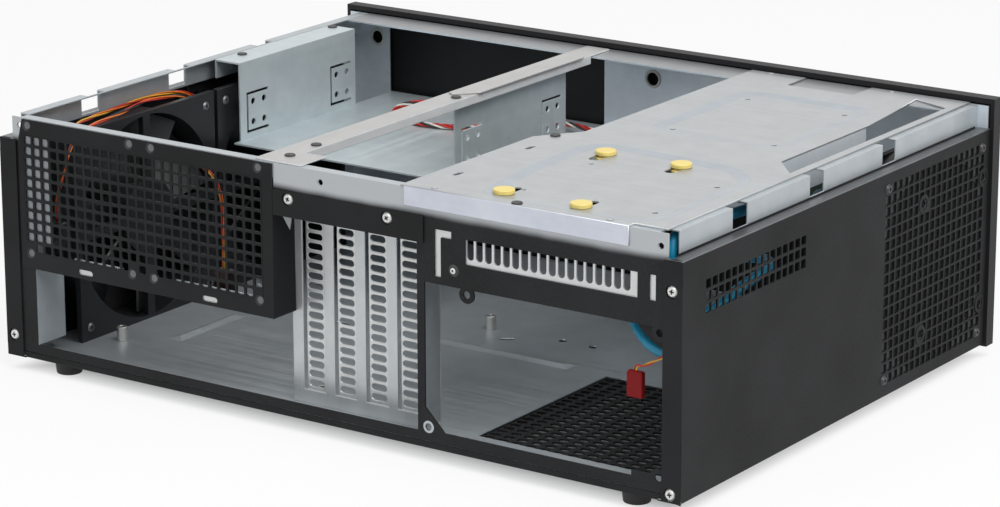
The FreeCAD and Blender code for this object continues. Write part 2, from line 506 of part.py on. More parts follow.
# Bezel: moulded front with a rim, the bay opening and the holes for ports and buttons
BEZEL_X = f"({LEFT} + bezel_overhang)"
BEZEL_Z = "(foot_height - bezel_drop)"
MID_Z = f"({BOARD_Z} + board_tall / 2)"
bezel_block = box("bezel_block", (f"-{BEZEL_X}", BEZEL_X), (NOSE, BEZEL_Y), (BEZEL_Z, BEZEL_TOP))
bezel_cuts = [
    box("bezel_inside", (f"bezel_wall - {BEZEL_X} - 0.5", f"{BEZEL_X} - bezel_wall + 0.5"),
        (f"{NOSE} + bezel_wall", f"{BEZEL_Y} + 1"), (f"{BEZEL_Z} + bezel_wall", f"{BEZEL_TOP} - bezel_wall")),
    box("bezel_bay", bay_x, (f"{NOSE} - 1", f"{NOSE} + bezel_wall + 1"), bay_z),
]
button_holes = [("power", "power_in", "power_radius"), ("reset", "reset_in", "reset_radius")]
for word, inset, radius in button_holes:
    bezel_cuts.append(rod(f"{word}_hole", "Y", (f"{BOARD_L} - {inset}", f"{NOSE} - 1", MID_Z),
                          f"{radius} + button_clear", "bezel_wall + 2"))
bezel_cuts.append(rod("lens_hole", "Y", (f"{BOARD_L} - lens_in", f"{NOSE} - 1", MID_Z), "lens_radius",
                      "bezel_wall + 2"))
jack_x = [f"({BOARD_L} - jack_in - {index} * jack_pitch)" for index in range(2)]
usb_x = [f"({BOARD_L} - usb_in - {index} * usb_pitch)" for index in range(2)]
for index, x in enumerate(jack_x, 1):
    bezel_cuts.append(rod(f"bezel_jack_{index}", "Y", (x, f"{NOSE} - 1", MID_Z), "jack_radius + slip",
                          "bezel_wall + 2"))
for index, x in enumerate(usb_x, 1):
    bezel_cuts.append(box(f"bezel_usb_{index}", (f"{x} - usb_wide / 2 - slip", f"{x} + usb_wide / 2 + slip"),
                          (f"{NOSE} - 1", f"{NOSE} + bezel_wall + 1"),
                          (f"{MID_Z} - usb_tall / 2 - slip", f"{MID_Z} + usb_tall / 2 + slip")))
node("bezel", cut("bezel", bezel_block, bezel_cuts))

# Drive bay cover: a plain blank set in the bezel, held by a lip behind it
cover_x = (f"{bay_x[0]} + slip", f"{bay_x[1]} - slip")
cover_z = (f"{bay_z[0]} + slip", f"{bay_z[1]} - slip")
node("drive_bay_cover", fuse("drive_bay_cover", [
    box("bay_cover_face", cover_x, (NOSE, f"{NOSE} + bezel_wall"), cover_z),
    box("bay_cover_lip", (f"{bay_x[0]} - 2", f"{bay_x[1]} + 2"),
        (f"{NOSE} + bezel_wall", f"{NOSE} + bezel_wall + 1.5"), (f"{bay_z[0]} - 2", f"{bay_z[1]} + 2")),
]))

# Front board with its two press switches, and the ports that stand on it
switches = []
for word, inset, radius in button_holes:
    x = f"({BOARD_L} - {inset})"
    switches.append(box(f"{word}_switch", (f"{x} - switch_side / 2", f"{x} + switch_side / 2"),
                        (f"{WALL_Y} - switch_tall", WALL_Y),
                        (f"{MID_Z} - switch_side / 2", f"{MID_Z} + switch_side / 2")))
usb_header = (f"{BOARD_L} - usb_in - usb_pitch / 2", f"{WALL_Y} + board_thick", MID_Z)
panel_header = (f"{BOARD_L} - header_in", f"{WALL_Y} + board_thick", f"{BOARD_Z} + board_tall - header_drop")
headers = []
for word, (x, y, z), half in (("usb", usb_header, "header_usb"), ("panel", panel_header, "header_panel")):
    headers.append(box(f"{word}_header", (f"{x} - {half}", f"{x} + {half}"), (y, f"{y} + header_deep"),
                       (f"{z} - {half}", f"{z} + {half}")))
node("front_board", fuse("front_board", [
    box("board_plate", (BOARD_R, BOARD_L), (WALL_Y, f"{WALL_Y} + board_thick"),
        (BOARD_Z, f"{BOARD_Z} + board_tall")),
] + switches + headers))
port_y = (f"{NOSE} + port_in", WALL_Y)
sleeves = []
for index, x in enumerate(usb_x, 1):
    shell = box(f"usb_shell_{index}", (f"{x} - usb_wide / 2", f"{x} + usb_wide / 2"), port_y,
                (f"{MID_Z} - usb_tall / 2", f"{MID_Z} + usb_tall / 2"))
    room = box(f"usb_room_{index}", (f"{x} - usb_wide / 2 + usb_wall", f"{x} + usb_wide / 2 - usb_wall"),
               (f"{NOSE} - 1", f"{WALL_Y} - 1"),
               (f"{MID_Z} - usb_tall / 2 + usb_wall", f"{MID_Z} + usb_tall / 2 - usb_wall"))
    tongue = box(f"usb_tongue_{index}",
                 (f"{x} - usb_wide / 2 + tongue_in", f"{x} + usb_wide / 2 - tongue_in"),
                 (f"{NOSE} + port_in + 1", WALL_Y), (MID_Z, f"{MID_Z} + tongue_thick"))
    sleeves.append(fuse(f"usb_port_{index}", [cut(f"usb_sleeve_{index}", shell, [room]), tongue]))
node("usb_ports", group("usb_ports", sleeves))
jacks = []
for index, x in enumerate(jack_x, 1):
    barrel = rod(f"jack_barrel_{index}", "Y", (x, port_y[0], MID_Z), "jack_radius",
                 f"{port_y[1]} - ({port_y[0]})")
    bore = rod(f"jack_bore_{index}", "Y", (x, f"{NOSE} - 1", MID_Z), "jack_hole", "bezel_depth - 1")
    jacks.append(cut(f"jack_{index}", barrel, [bore]))
node("audio_jacks", group("audio_jacks", jacks))

# Buttons: a cap flush with the bezel and a flange behind it that presses the switch
for word, inset, radius in button_holes:
    x = f"{BOARD_L} - {inset}"
    cap = rod(f"{word}_cap", "Y", (x, NOSE, MID_Z), radius, "bezel_wall + slip + button_plate")
    collar = rod(f"{word}_collar", "Y", (x, f"{NOSE} + bezel_wall + slip", MID_Z),
                 f"{radius} + button_flange",
                 "button_plate")
    node(f"{word}_button", fuse(f"{word}_button", [cap, collar]))
lens = [
    rod("lens_tip", "Y", (f"{BOARD_L} - lens_in", NOSE, MID_Z), "lens_radius", "bezel_wall + sheet"),
    rod("lens_collar", "Y", (f"{BOARD_L} - lens_in", f"{NOSE} + bezel_wall", MID_Z),
        "lens_radius + lens_flange", "sheet"),
]
node("led_lens", fuse("led_lens", lens))

# Optical-drive cage: floor, two side walls and an outward flange folded from one sheet
wall_y = (f"{WALL_Y} + bay_front_gap", f"{WALL_Y} + bay_front_gap + bay_side")
cage_sheet = fuse("cage_sheet", [
    box("cage_floor", (f"{BAY_R} - sheet", CAGE_L), (WALL_Y, f"{WALL_Y} + bay_floor"),
        (BAY_Z, f"{BAY_Z} + sheet")),
    box("cage_left", (f"{CAGE_L} - sheet", CAGE_L), wall_y, (BAY_Z, RAIL_TOP)),
    box("cage_right", (f"{BAY_R} - sheet", BAY_R), wall_y, (BAY_Z, RAIL_TOP)),
    box("cage_flange", (f"{CAGE_L} - sheet", f"{CAGE_L} + bay_flange"), wall_y,
        (f"{RAIL_TOP} - sheet", RAIL_TOP)),
    box("cage_lip", (f"{CAGE_L} + bay_flange - sheet", f"{CAGE_L} + bay_flange"), wall_y,
        (f"{RAIL_TOP} - bay_lip", RAIL_TOP)),
])
cage_cuts = []
for wall, x in (("left", f"{CAGE_L} - sheet"), ("right", f"{BAY_R} - sheet")):
    wall_through = (f"{x} - 1", f"{x} + sheet + 1")
    for tab in range(2):
        rear = f"({wall_y[1]} - tab_edge - {tab} * tab_apart)"
        low = f"({BAY_Z} + tab_rise)"
        slits = [((f"{rear} - tab_slit", rear), (low, f"{low} + tab_tall")),
                 ((f"{rear} - tab_long", rear), (low, f"{low} + tab_slit")),
                 ((f"{rear} - tab_long", rear), (f"{low} + tab_tall - tab_slit", f"{low} + tab_tall"))]
        for index, (y, z) in enumerate(slits, 1):
            cage_cuts.append(box(f"{wall}_slit_{tab}{index}", wall_through, y, z))
        for column in range(2):
            for level in range(2):
                hole_y = f"{rear} - tab_edge - {column} * tab_pitch"
                hole_z = f"{low} + tab_edge + {level} * (tab_tall - 2 * tab_edge)"
                cage_cuts.append(rod(f"{wall}_tab_hole_{tab}{column}{level}", "X",
                                     (f"{x} - 1", hole_y, hole_z),
                                     "tab_hole", "sheet + 2"))
node("odd_cage", cut("odd_cage", cage_sheet, cage_cuts))

# Beam over the cage wall, from the front flange to the rear flange, with a broad rear foot
BEAM_X = f"({BAY_R} + sheet / 2)"
beam_x = (f"{BEAM_X} - beam_width / 2", f"{BEAM_X} + beam_width / 2")
lip_y = (f"{WALL_Y} + front_flange + sheet", f"{PANEL} - rail_flange - sheet")
lip_z = (f"{RAIL_TOP} - beam_lip", f"{RAIL_TOP} + sheet")
node("cage_beam", fuse("cage_beam", [
    box("beam_top", beam_x, (f"{WALL_Y} + beam_front", PANEL), (RAIL_TOP, f"{RAIL_TOP} + sheet")),
    box("beam_lip_right", (beam_x[0], f"{beam_x[0]} + sheet"), lip_y, lip_z),
    box("beam_lip_left", (f"{beam_x[1]} - sheet", beam_x[1]), lip_y, lip_z),
    box("beam_foot_plate", (f"{BEAM_X} - beam_foot", beam_x[1]), (f"{PANEL} - beam_foot", PANEL),
        (RAIL_TOP, f"{RAIL_TOP} + sheet")),
]))

# Strap on the front half of the beam, with a pointed rear end
strap_right = number(f"{BEAM_X} - strap_in")
strap_left = strap_right + number("strap_width")
strap_front = number(f"{WALL_Y} + strap_front")
strap_rear = strap_front + number("strap_length")
strap_z = number(f"{RAIL_TOP} + sheet")
strap_point = number("strap_point")
strap_corners = [(strap_right, strap_front), (strap_left, strap_front),
                 (strap_left, strap_rear - strap_point / 2),
                 (strap_left - strap_point, strap_rear), (strap_right, strap_rear - number("strap_slope")),
                 (strap_right, strap_front)]
strap_face = Part.Face(Part.makePolygon([FreeCAD.Vector(x, y, strap_z) for x, y in strap_corners]))
node("beam_strap", shaped("beam_strap", strap_face.extrude(FreeCAD.Vector(0, 0, number("sheet")))))

# Drive plate: stepped sheet over the supply side with a rear flange, two pressed fields and a side cut-out
plate_z = (RAIL_TOP, f"{RAIL_TOP} + sheet")
field_rear = ((f"{PLATE_R} + plate_corner", f"{PLATE_L} - field_in"),
              (f"{BACK} - plate_long", f"{BACK} - field_rear"))
field_front = ((f"{PLATE_R} + cut_wide + field_right", f"{STEP_L} - field_left"),
               (f"{WALL_Y} + field_front", f"{BACK} - plate_long - field_apart"))
plate_pieces = [
    box("plate_rear", (PLATE_R, PLATE_L), (f"{BACK} - plate_long", BACK), plate_z),
    box("plate_front", (PLATE_R, STEP_L), (f"{WALL_Y} + 1", f"{BACK} - plate_long"), plate_z),
    box("plate_flange_strip", (f"{PLATE_R} + plate_corner", f"{PLATE_L} - 2"), (SKIN, BACK),
        (f"{RAIL_TOP} - plate_flange", f"{RAIL_TOP} + sheet")),
    box("plate_flap", (f"{PLATE_R} + cut_wide", f"{PLATE_R} + cut_wide + sheet"),
        (f"{BACK} - cut_from_rear - cut_slope - flap_long", f"{BACK} - cut_from_rear - cut_slope"),
        (f"{RAIL_TOP} - flap_drop", f"{RAIL_TOP} + sheet")),
]
plate_cuts = [
    box("plate_corner_cut", (f"{PLATE_R} - 1", f"{PLATE_R} + plate_corner"),
        (f"{PANEL} - rail_flange + 2", f"{BACK} + 1"), (f"{RAIL_TOP} - 1", f"{RAIL_TOP} + 2 * sheet")),
    box("plate_notch_cut", (f"{STEP_L} - plate_tab - notch_span", f"{STEP_L} - plate_tab"),
        (WALL_Y, f"{WALL_Y} + plate_notch"), (f"{RAIL_TOP} - 1", f"{RAIL_TOP} + 2 * sheet")),
]
for word, (field_x, field_y) in (("rear", field_rear), ("front", field_front)):
    plate_cuts.append(box(f"{word}_field", (f"{field_x[0]} + sheet", f"{field_x[1]} - sheet"),
                          (f"{field_y[0]} + sheet", f"{field_y[1]} - sheet"),
                          (RAIL_TOP, f"{RAIL_TOP} + 2 * sheet")))
    plate_pieces.append(box(f"{word}_field_floor", field_x, field_y, (f"{RAIL_TOP} - press_depth", RAIL_TOP)))
cut_right = number(f"{PLATE_R} + cut_edge")
cut_left = number(f"{PLATE_R} + cut_wide")
cut_rear = number(f"{BACK} - cut_from_rear")
cut_front = cut_rear - number("cut_long")
cut_bend = cut_rear - number("cut_slope")
cut_corners = [(cut_right, cut_rear), (cut_left, cut_bend), (cut_left, cut_bend - 2 - number("flap_long")),
               (cut_left + number("cut_toe"), cut_front), (cut_right, cut_front + number("cut_heel")),
               (cut_right, cut_rear)]
cut_base = number(RAIL_TOP) - 0.5
cut_face = Part.Face(Part.makePolygon([FreeCAD.Vector(x, y, cut_base) for x, y in cut_corners]))
plate_cuts.append(shaped("plate_side_cut", cut_face.extrude(FreeCAD.Vector(0, 0, 2 * number("sheet")))))
grommet_spots = []
for column in range(2):
    for row in range(2):
        x = f"({PLATE_L} - grommet_in - {column} * grommet_x)"
        y = f"({BACK} - grommet_rear - {row} * grommet_y)"
        grommet_spots.append((x, y))
        plate_cuts.append(rod(f"grommet_hole_{column}{row}", "Z", (x, y, f"{RAIL_TOP} - 2 * press_depth"),
                              "grommet_neck + slip", "4 * press_depth"))
node("drive_plate", cut("drive_plate", fuse("plate_sheet", plate_pieces), plate_cuts))

# Rubber grommets that carry a drive on the rear field
grommets = []
for index, (x, y) in enumerate(grommet_spots, 1):
    grommets.append(fuse(f"grommet_{index}", [
        rod(f"grommet_neck_{index}", "Z", (x, y, f"{RAIL_TOP} - press_depth - grommet_foot"), "grommet_neck",
            "press_depth + grommet_foot + grommet_rise"),
        rod(f"grommet_head_{index}", "Z", (x, y, RAIL_TOP), "grommet_lip", "grommet_rise"),
        rod(f"grommet_base_{index}", "Z", (x, y, f"{RAIL_TOP} - press_depth - grommet_foot"), "grommet_lip",
            "grommet_foot"),
    ]))
node("drive_grommets", group("drive_grommets", grommets))

# Fans: square frame with a round duct, a rotor on a pin in its hub, and a dust cloth towards the grille
HUB_DISC = "(fan_hub + 1)"
fan_screws = []
for index in range(3):
    side = FAN_SIDE[index]
    name = f"fan_{index + 1}"
    half = "fan_size / 2"
    duct = [
        box(f"{name}_inner_plate", (f"-{half}", half), (f"-{half}", half), ("0", "fan_plate")),
        box(f"{name}_outer_plate", (f"-{half}", half), (f"-{half}", half),
            ("fan_depth - fan_plate", "fan_depth")),
        rod(f"{name}_duct", "Z", ("0", "0", "0"), "fan_bore + duct_wall", "fan_depth"),
    ]
    frame_cuts = [rod(f"{name}_bore", "Z", ("0", "0", "-1"), "fan_bore", "fan_depth + 2")]
    for x in ("-", ""):
        for y in ("-", ""):
            corner = f"{'m' if x else 'p'}{'m' if y else 'p'}"
            frame_cuts.append(rod(f"{name}_screw_hole_{corner}", "Z",
                                  (f"{x}fan_pitch / 2", f"{y}fan_pitch / 2", "-1"), "fan_hole",
                                  "fan_depth + 2"))
            spot_x = f"{LEFT}" if side > 0 else f"{RIGHT} - screw_rise"
            fan_screws.append(rod(f"{name}_screw_{corner}", "X",
                                  (spot_x, f"{FAN_Y[index]} + {x}fan_pitch / 2",
                                   f"{FAN_Z} + {y}fan_pitch / 2"),
                                  "fan_screw", "screw_rise"))
    ring = cut(f"{name}_ring", fuse(f"{name}_duct_sheet", duct), frame_cuts)
    struts = [
        rod(f"{name}_hub_disc", "Z", ("0", "0", "0"), HUB_DISC, "fan_plate"),
        box(f"{name}_strut_across", ("-fan_bore - 1", "fan_bore + 1"), ("-strut_wide / 2", "strut_wide / 2"),
            ("0", "fan_plate")),
        box(f"{name}_strut_up", ("-strut_wide / 2", "strut_wide / 2"), ("-fan_bore - 1", "fan_bore + 1"),
            ("0", "fan_plate")),
    ]
    pin_bore = rod(f"{name}_pin_bore", "Z", ("0", "0", "-1"), "fan_pin + pin_clearance", "fan_plate + 2")
    frame = cut(f"{name}_frame", fuse(f"{name}_frame_sheet", [ring] + struts), [pin_bore])
    turn = FreeCAD.Rotation(FreeCAD.Vector(0, 1, 0), 90 * side)
    place = FreeCAD.Placement(FreeCAD.Vector(), turn)

    rotor = doc.addObject("PartDesign::Body", f"{name}_rotor")
    planes = {plane.Role: plane for plane in rotor.Origin.OriginFeatures}
    hub_low = number("fan_plate + hub_gap")
    hub_high = number("fan_depth - hub_in")
    hub_sketch = rotor.newObject("Sketcher::SketchObject", f"{name}_hub_sketch")
    hub_sketch.AttachmentSupport = (planes["XY_Plane"], [""])
    hub_sketch.MapMode = "FlatFace"
    hub_sketch.AttachmentOffset = FreeCAD.Placement(FreeCAD.Vector(0, 0, hub_low), FreeCAD.Rotation())
    hub_sketch.addGeometry(Part.Circle(FreeCAD.Vector(), FreeCAD.Vector(0, 0, 1), number("fan_hub")), False)
    rotor_hub = rotor.newObject("PartDesign::Pad", f"{name}_hub")
    rotor_hub.Profile = hub_sketch
    rotor_hub.setExpression("Length", bound("fan_depth - fan_plate - hub_gap - hub_in"))
    pin_sketch = rotor.newObject("Sketcher::SketchObject", f"{name}_pin_sketch")
    pin_sketch.AttachmentSupport = (planes["XY_Plane"], [""])
    pin_sketch.MapMode = "FlatFace"
    pin_sketch.AttachmentOffset = FreeCAD.Placement(FreeCAD.Vector(0, 0, 0.3), FreeCAD.Rotation())
    pin_sketch.addGeometry(Part.Circle(FreeCAD.Vector(), FreeCAD.Vector(0, 0, 1), number("fan_pin")), False)
    pin = rotor.newObject("PartDesign::Pad", f"{name}_pin")
    pin.Profile = pin_sketch
    pin.setExpression("Length", bound("fan_plate + 0.5"))
    sections = []
    # A blade lies flatter and wider towards its tip, and is trimmed round after the loft
    blade_ends = (("root", number("fan_hub") - 2), ("tip", number("blade_end")))
    for word, radius in blade_ends:
        lean = number(f"{word}_lean")
        width = number(f"{word}_wide")
        sketch = rotor.newObject("Sketcher::SketchObject", f"{name}_{word}_sketch")
        sketch.AttachmentSupport = (planes["XZ_Plane"], [""])
        sketch.MapMode = "FlatFace"
        sketch.AttachmentOffset = FreeCAD.Placement(FreeCAD.Vector(0, 0, -radius), FreeCAD.Rotation())
        along = FreeCAD.Vector(math.cos(math.radians(lean)), math.sin(math.radians(lean)), 0) * (width / 2)
        thick = FreeCAD.Vector(-along.y, along.x, 0).normalize() * (number("blade_thick") / 2)
        middle = FreeCAD.Vector(0, (hub_low + hub_high) / 2, 0)
        corners = [middle + along + thick, middle - along + thick, middle - along - thick,
                   middle + along - thick]
        for start, end in zip(corners, corners[1:] + corners[:1]):
            sketch.addGeometry(Part.LineSegment(start, end), False)
        sections.append(sketch)
    blade = rotor.newObject("PartDesign::AdditiveLoft", f"{name}_blade")
    blade.Profile = sections[0]
    blade.Sections = [sections[1]]
    blade.Ruled = True
    blades = rotor.newObject("PartDesign::PolarPattern", f"{name}_blades")
    blades.Originals = [blade]
    blades.Axis = (hub_sketch, ["N_Axis"])
    blades.Angle = 360
    blades.setExpression("Occurrences", bound("blade_count"))
    rotor.Tip = blades
    trimmed = doc.addObject("Part::MultiCommon", f"{name}_trimmed_rotor")
    trimmed.Shapes = [rotor, rod(f"{name}_swept_bore", "Z", ("0", "0", "0"), "fan_tip", "fan_depth")]
    cloth = group(f"{name}_filter", [
        rod(f"{name}_cloth", "Z", ("0", "0", "fan_depth - filter_in"), "fan_bore - slip / 2", "filter_thick"),
    ])
    for piece in (frame, trimmed, cloth):
        piece.Placement = place
        inner_x = f"{WALL} - fan_depth" if side > 0 else f"fan_depth - {WALL}"
        for letter, text in zip("xyz", (inner_x, FAN_Y[index], FAN_Z)):
            piece.setExpression(f"Placement.Base.{letter}", bound(text))
    node(f"fan_frame_{index + 1}", frame)
    node(f"fan_rotor_{index + 1}", trimmed)
    node(f"fan_filter_{index + 1}", cloth)
node("fan_screws", group("fan_screws", fan_screws))

# Rear screws: flat heads let into the clamp and the side flanges
rear_spots = [(x, CLAMP_Z) for x in clamp_screws]
for side in (1, -1):
    rear_spots += [(SCREW_X[side], level) for level in side_screws[side]]
rear_spots.append((f"({PSU_L} - lone_screw_x)", f"({PSU_TOP} + lone_screw_z)"))
rear_heads = []
for index, (x, z) in enumerate(rear_spots, 1):
    rear_heads.append(rod(f"rear_head_{index}", "Y", (x, SKIN, z), "rear_screw", "sheet"))
node("rear_screws", group("rear_screws", rear_heads))

# Standoffs for the main board
STAND_X = f"({IO_L} - board_x)"
STAND_Y = f"({BACK} - board_y)"
stand_spots = [(STAND_X, STAND_Y), (STAND_X, f"({STAND_Y} - board_pitch_y)"),
               (f"({STAND_X} - board_pitch_x)", f"({STAND_Y} - board_pitch_y)"),
               (f"({STAND_X} - board_pitch_x)", f"({STAND_Y} + board_step)")]
standoffs = []
for index, (x, y) in enumerate(stand_spots, 1):
    post = rod(f"stand_post_{index}", "Z", (x, y, FLOOR), "standoff_radius", "standoff_height")
    tap = rod(f"stand_tap_{index}", "Z", (x, y, f"{FLOOR} - 1"), "standoff_hole", "standoff_height + 2")
    standoffs.append(cut(f"standoff_{index}", post, [tap]))
node("board_standoffs", group("board_standoffs", standoffs))

# Feet: tapered rubber studs under the tray
for side, word in ((1, "left"), (-1, "right")):
    for end, y in (("rear", f"{BACK} - foot_rear"), ("front", f"{WALL_Y} + foot_front")):
        foot = doc.addObject("Part::Cone", f"foot_{end}_{word}")
        foot.setExpression("Radius1", bound("foot_radius - foot_taper"))
        foot.setExpression("Radius2", bound("foot_radius"))
        foot.setExpression("Height", bound(TRAY))
        foot.setExpression("Placement.Base.x", bound(f"{side} * ({LEFT} - foot_x)"))
        foot.setExpression("Placement.Base.y", bound(y))
        node(f"foot_{end}_{word}", foot)


def lead(label, points, diameter):
    """A lead along a route of points: straight runs with an arc at each corner as large as its runs allow."""
    spots = [FreeCAD.Vector(*point) for point in points]
    edges = []
    last = spots[0]
    radii = []
    for before, here, after in zip(spots, spots[1:], spots[2:]):
        back = (before - here).normalize()
        ahead = (after - here).normalize()
        turn = math.pi - math.acos(max(-1.0, min(1.0, back.dot(ahead))))
        reach = 0.45 * min((before - here).Length, (after - here).Length)
        radius = reach / math.tan(turn / 2)
        radii.append(radius)
        start = here + back * reach
        end = here + ahead * reach
        inward = (back + ahead).normalize()
        centre = here + inward * math.hypot(radius, reach)
        edges.append(Part.LineSegment(last, start).toShape())
        edges.append(Part.Arc(start, centre - inward * radius, end).toShape())
        last = end
    edges.append(Part.LineSegment(last, spots[-1]).toShape())
    path = Part.Wire(edges)
    ring = Part.Wire([Part.makeCircle(diameter / 2, spots[0], spots[1] - spots[0])])
    tube = path.makePipeShell([ring], True, False)
    expected = math.pi * diameter ** 2 / 4 * path.Length
    print(f"{label}: {path.Length:.0f} mm long, tightest bend {min(radii):.1f} mm, "
          f"volume {tube.Volume / expected:.3f} of its section times its length")
    return node(label, shaped(label, tube))


def plug(label, low, high):
    """A moulded plug body between two corners, with a chamfered lead end."""
    body = Part.makeBox(*[high[axis] - low[axis] for axis in range(3)], FreeCAD.Vector(*low))
    top = [edge for edge in body.Edges if abs(edge.CenterOfMass.z - high[2]) < 1e-6]
    return node(label, shaped(label, body.makeChamfer(number("plug_chamfer"), top)))


# Lead of the rear left fan: out of the frame's upper pocket, over the fan and down behind the rear grille
fan_face = number(f"{WALL} - fan_depth")
fan_mid = fan_face + number("fan_depth") / 2
fan_cord = number("fan_lead")
lead("fan_lead_1", [(fan_mid, 25.8, 109.7), (fan_mid, 20, 114.9), (fan_mid - 1.5, 18, 122.5),
                    (fan_mid - 4.5, 24, 128), (fan_mid - 6, 34, 131), (fan_mid - 4.5, 44, 132),
                    (fan_mid - 2.5, 54, 132.2), (fan_mid - 2.5, 64, 132.2), (fan_mid - 6, 76, 132.2),
                    (fan_mid - 10, 90, 132.4), (fan_mid - 13, 112, 132.5), (fan_mid - 17.5, 134, 131.5),
                    (fan_mid - 23, 149, 124), (fan_mid - 21.5, 152, 111), (fan_mid - 16.5, 152, 99),
                    (fan_mid - 16.5, 152, 86)], fan_cord)
plug("fan_plug_1", (fan_mid - 21.5, 149, 72), (fan_mid - 11.5, 155, 86))

# Lead of the front left fan: over the rear fan, along the rear rail and down behind the grille
lead("fan_lead_2", [(fan_mid, -8.8, 109.7), (fan_mid, -3, 114.9), (fan_mid + 1.5, 3, 120.5),
                    (fan_mid + 2, 12, 126), (fan_mid + 2, 24, 130.5), (fan_mid + 2.5, 40, 132.2),
                    (fan_mid + 2.5, 60, 132.4), (fan_mid - 0.5, 84, 132.6), (fan_mid - 5, 108, 133.4),
                    (fan_mid - 12.5, 130, 135), (fan_mid - 27, 145, 135.6), (fan_mid - 45, 151, 135.6),
                    (fan_mid - 75, 152, 135.4), (fan_mid - 105, 152, 135), (fan_mid - 122, 152, 132),
                    (fan_mid - 131, 152, 122), (fan_mid - 132.5, 152, 108), (fan_mid - 132.5, 152, 78)],
     fan_cord)
plug("fan_plug_2", (fan_mid - 137.5, 149, 64), (fan_mid - 127.5, 155, 78))

# Front USB cable: from the front board up to the right rail, round in the rear corner and into the supply bay
board_face = number(f"{WALL_Y} + board_thick + header_deep")
usb_x0 = number(usb_header[0])
usb_z0 = number(MID_Z)
lead("usb_cable", [(usb_x0, board_face, usb_z0), (usb_x0, board_face + 16, usb_z0), (usb_x0 - 9, -110, 87),
                   (usb_x0 - 24, -84, 100), (usb_x0 - 39, -54, 110), (usb_x0 - 54, -22, 115),
                   (usb_x0 - 65, 10, 122), (usb_x0 - 71, 42, 131), (usb_x0 - 74, 76, 135.6),
                   (usb_x0 - 75, 106, 136), (usb_x0 - 75, 138.3, 136), (usb_x0 - 76.5, 150, 124.3),
                   (usb_x0 - 78, 150, 107.7), (usb_x0 - 79.5, 138.3, 96), (usb_x0 - 80.5, 118, 96),
                   (usb_x0 - 80.5, 97, 101.5), (usb_x0 - 80, 74, 103.5), (usb_x0 - 74, 54, 103),
                   (usb_x0 - 60, 41, 100.5), (usb_x0 - 42, 42, 98), (usb_x0 - 31, 58, 97),
                   (usb_x0 - 28, 82, 97), (usb_x0 - 30, 106, 96.5), (usb_x0 - 35, 124, 93.8),
                   (usb_x0 - 45.5, 139, 88.3), (usb_x0 - 58, 146, 81.5), (usb_x0 - 69, 148, 78.3),
                   (usb_x0 - 76.5, 148, 78.3)], number("usb_cable"))
plug("usb_plug", (usb_x0 - 86.5, 142, 68), (usb_x0 - 76.5, 155, 92))

# Switch lead with its two-pin plug, from the plug at the end of that cable
lead("switch_lead", [(usb_x0 - 76.5, 152.5, 87.5), (usb_x0 - 71, 152.5, 87.5), (usb_x0 - 64.6, 152.4, 83.6),
                     (usb_x0 - 59, 152.3, 79), (usb_x0 - 55.4, 152.3, 74.2), (usb_x0 - 55.4, 152.3, 68.8)],
     number("switch_lead"))
plug("switch_plug", (usb_x0 - 60, 150.6, 55), (usb_x0 - 51, 154, 68.8))

# Panel lead: low past the front of the cage wall, round on the bay floor and back to a plug by the wall
panel_x0 = number(panel_header[0])
panel_z0 = number(panel_header[2])
lead("panel_lead", [(panel_x0, board_face, panel_z0), (panel_x0, board_face + 9, panel_z0),
                    (panel_x0 + 6, board_face + 18, 92), (panel_x0 + 19, board_face + 21.5, 98.8),
                    (panel_x0 + 36, board_face + 21, 102), (panel_x0 + 52, board_face + 18, 103),
                    (panel_x0 + 74, board_face + 13, 101.5), (82, -137, 100), (108, -140, 99.8),
                    (132, -137, 100.8), (149, -127, 102), (153, -111, 101), (143, -97, 100), (122, -90, 99.8),
                    (100, -94, 100), (84, -103, 100.4), (75, -108, 101), (64, -108, 101)],
                    number("panel_lead"))
plug("panel_plug", (50, -113, 98), (64, -103, 104))

# Every object has to be sound before anything is written
doc.recompute()
for thing in doc.Objects:
    if "Invalid" in thing.State or "Error" in thing.State:
        raise RuntimeError(f"{thing.Label} did not compute: {thing.State}")
for made in nodes:
    if made.Shape.isNull() or not made.Shape.isValid():
        raise RuntimeError(f"{made.Label} has no valid shape")
os.makedirs("parts", exist_ok=True)
for made in nodes:
    made.Shape.exportStep(f"parts/{made.Label}.step")
print(f"{len(nodes)} sub-parts")
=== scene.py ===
import bmesh
import bpy
import math
from mathutils import Matrix, Vector


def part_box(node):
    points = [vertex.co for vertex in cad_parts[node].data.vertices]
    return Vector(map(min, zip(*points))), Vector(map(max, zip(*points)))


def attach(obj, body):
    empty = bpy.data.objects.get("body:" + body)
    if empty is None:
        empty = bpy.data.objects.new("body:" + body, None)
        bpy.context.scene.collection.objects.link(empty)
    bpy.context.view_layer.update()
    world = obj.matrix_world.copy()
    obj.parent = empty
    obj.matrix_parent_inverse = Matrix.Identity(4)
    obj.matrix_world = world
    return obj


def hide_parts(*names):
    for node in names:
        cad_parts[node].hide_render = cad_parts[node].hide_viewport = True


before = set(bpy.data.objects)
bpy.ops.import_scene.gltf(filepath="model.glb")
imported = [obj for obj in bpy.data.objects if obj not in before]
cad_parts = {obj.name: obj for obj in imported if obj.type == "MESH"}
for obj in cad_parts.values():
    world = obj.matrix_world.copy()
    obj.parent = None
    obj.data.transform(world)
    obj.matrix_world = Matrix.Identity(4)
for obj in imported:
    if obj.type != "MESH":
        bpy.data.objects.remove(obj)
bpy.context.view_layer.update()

# Studio: a plain pale floor and soft lamps round the case, with the camera behind its right rear corner.
# Floor and world are white to the camera and to shiny faces, and the floor keeps a soft shadow.
MM = 0.001
scene = bpy.context.scene
scene.view_settings.view_transform = "Standard"


